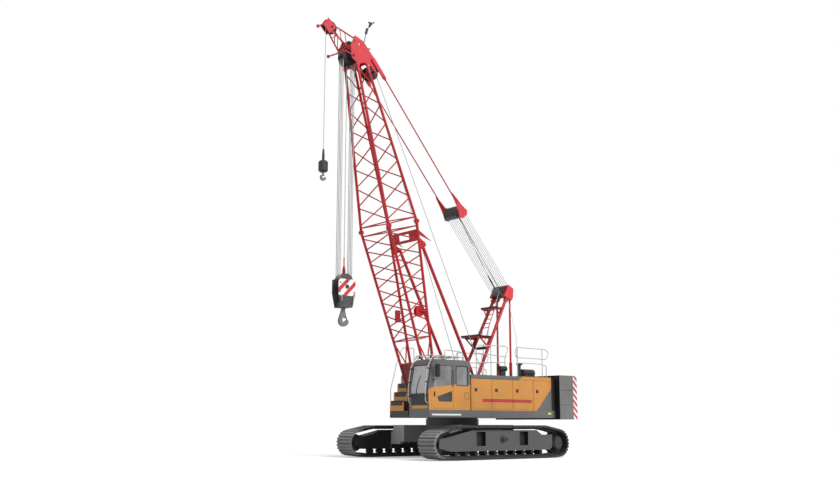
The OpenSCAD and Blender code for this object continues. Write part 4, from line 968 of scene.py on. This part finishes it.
def pale_floor():
    """Wide floor that keeps the shadow and looks a little brighter to the camera than it is lit."""
    half_size, drop, lift_strength = 150.0, 0.002, 0.24
    bm = bmesh.new()
    bmesh.ops.create_grid(bm, x_segments=1, y_segments=1, size=half_size)
    data = bpy.data.meshes.new("floor")
    bm.to_mesh(data)
    bm.free()
    floor = bpy.data.objects.new("floor", data)
    floor.location.z = -drop
    scene.collection.objects.link(floor)
    finish = Finish("pale_floor")
    mottle = finish.noise(0.4, 2.0)
    finish.set(Base_Color=finish.mixed(mottle, rgb(0.86, 0.86, 0.86), rgb(0.90, 0.90, 0.90)), Roughness=0.8)
    lift = finish.node("ShaderNodeEmission", None, {"Color": rgb(1.0, 1.0, 1.0), "Strength": lift_strength})
    both = finish.node("ShaderNodeAddShader")
    seen = finish.node("ShaderNodeLightPath")
    choose = finish.node("ShaderNodeMixShader")
    lit = finish.shader.outputs[0]
    join(finish.tree, ((lit, both.inputs[0]), (lift.outputs[0], both.inputs[1]),
                       (seen.outputs["Is Camera Ray"], choose.inputs[0]), (lit, choose.inputs[1]),
                       (both.outputs[0], choose.inputs[2]),
                       (choose.outputs[0], finish.tree.nodes["Material Output"].inputs[0])))
    data.materials.append(finish.material)


def white_world():
    """Soft light from all round, and plain white to the camera, in metal and through glass."""
    world = bpy.data.worlds.new("studio")
    world.use_nodes = True
    tree = world.node_tree
    soft = tree.nodes["Background"]
    soft.inputs[0].default_value, soft.inputs[1].default_value = rgb(0.97, 0.98, 1.0), 0.46
    plain = tree.nodes.new("ShaderNodeBackground")
    plain.inputs[0].default_value, plain.inputs[1].default_value = rgb(1.0, 1.0, 1.0), 1.0
    paths = tree.nodes.new("ShaderNodeLightPath")
    direct, seen = tree.nodes.new("ShaderNodeMath"), tree.nodes.new("ShaderNodeMath")
    direct.operation = seen.operation = "MAXIMUM"
    choose = tree.nodes.new("ShaderNodeMixShader")
    join(tree, ((paths.outputs["Is Camera Ray"], direct.inputs[0]),
                (paths.outputs["Is Glossy Ray"], direct.inputs[1]),
                (direct.outputs[0], seen.inputs[0]),
                (paths.outputs["Is Transmission Ray"], seen.inputs[1]),
                (seen.outputs[0], choose.inputs[0]), (soft.outputs[0], choose.inputs[1]),
                (plain.outputs[0], choose.inputs[2]),
                (choose.outputs[0], tree.nodes["World Output"].inputs[0])))
    scene.world = world


def lamps():
    """A broad key light over the machine's left side and a faint fill from its front."""
    height = 30.0
    for name, way, power, angle in (("key_light", (0.10, -0.80, -0.62), 2.5, 22.0),
                                    ("fill_light", (-0.75, -0.20, -0.5), 0.35, 60.0)):
        lamp = bpy.data.lights.new(name, "SUN")
        lamp.energy, lamp.angle = power, math.radians(angle)
        holder = bpy.data.objects.new(name, lamp)
        holder.rotation_mode = "QUATERNION"
        holder.rotation_quaternion = Vector(way).to_track_quat("-Z", "Y")
        holder.location = (0.0, 0.0, height)
        scene.collection.objects.link(holder)


pale_floor()
white_world()
lamps()
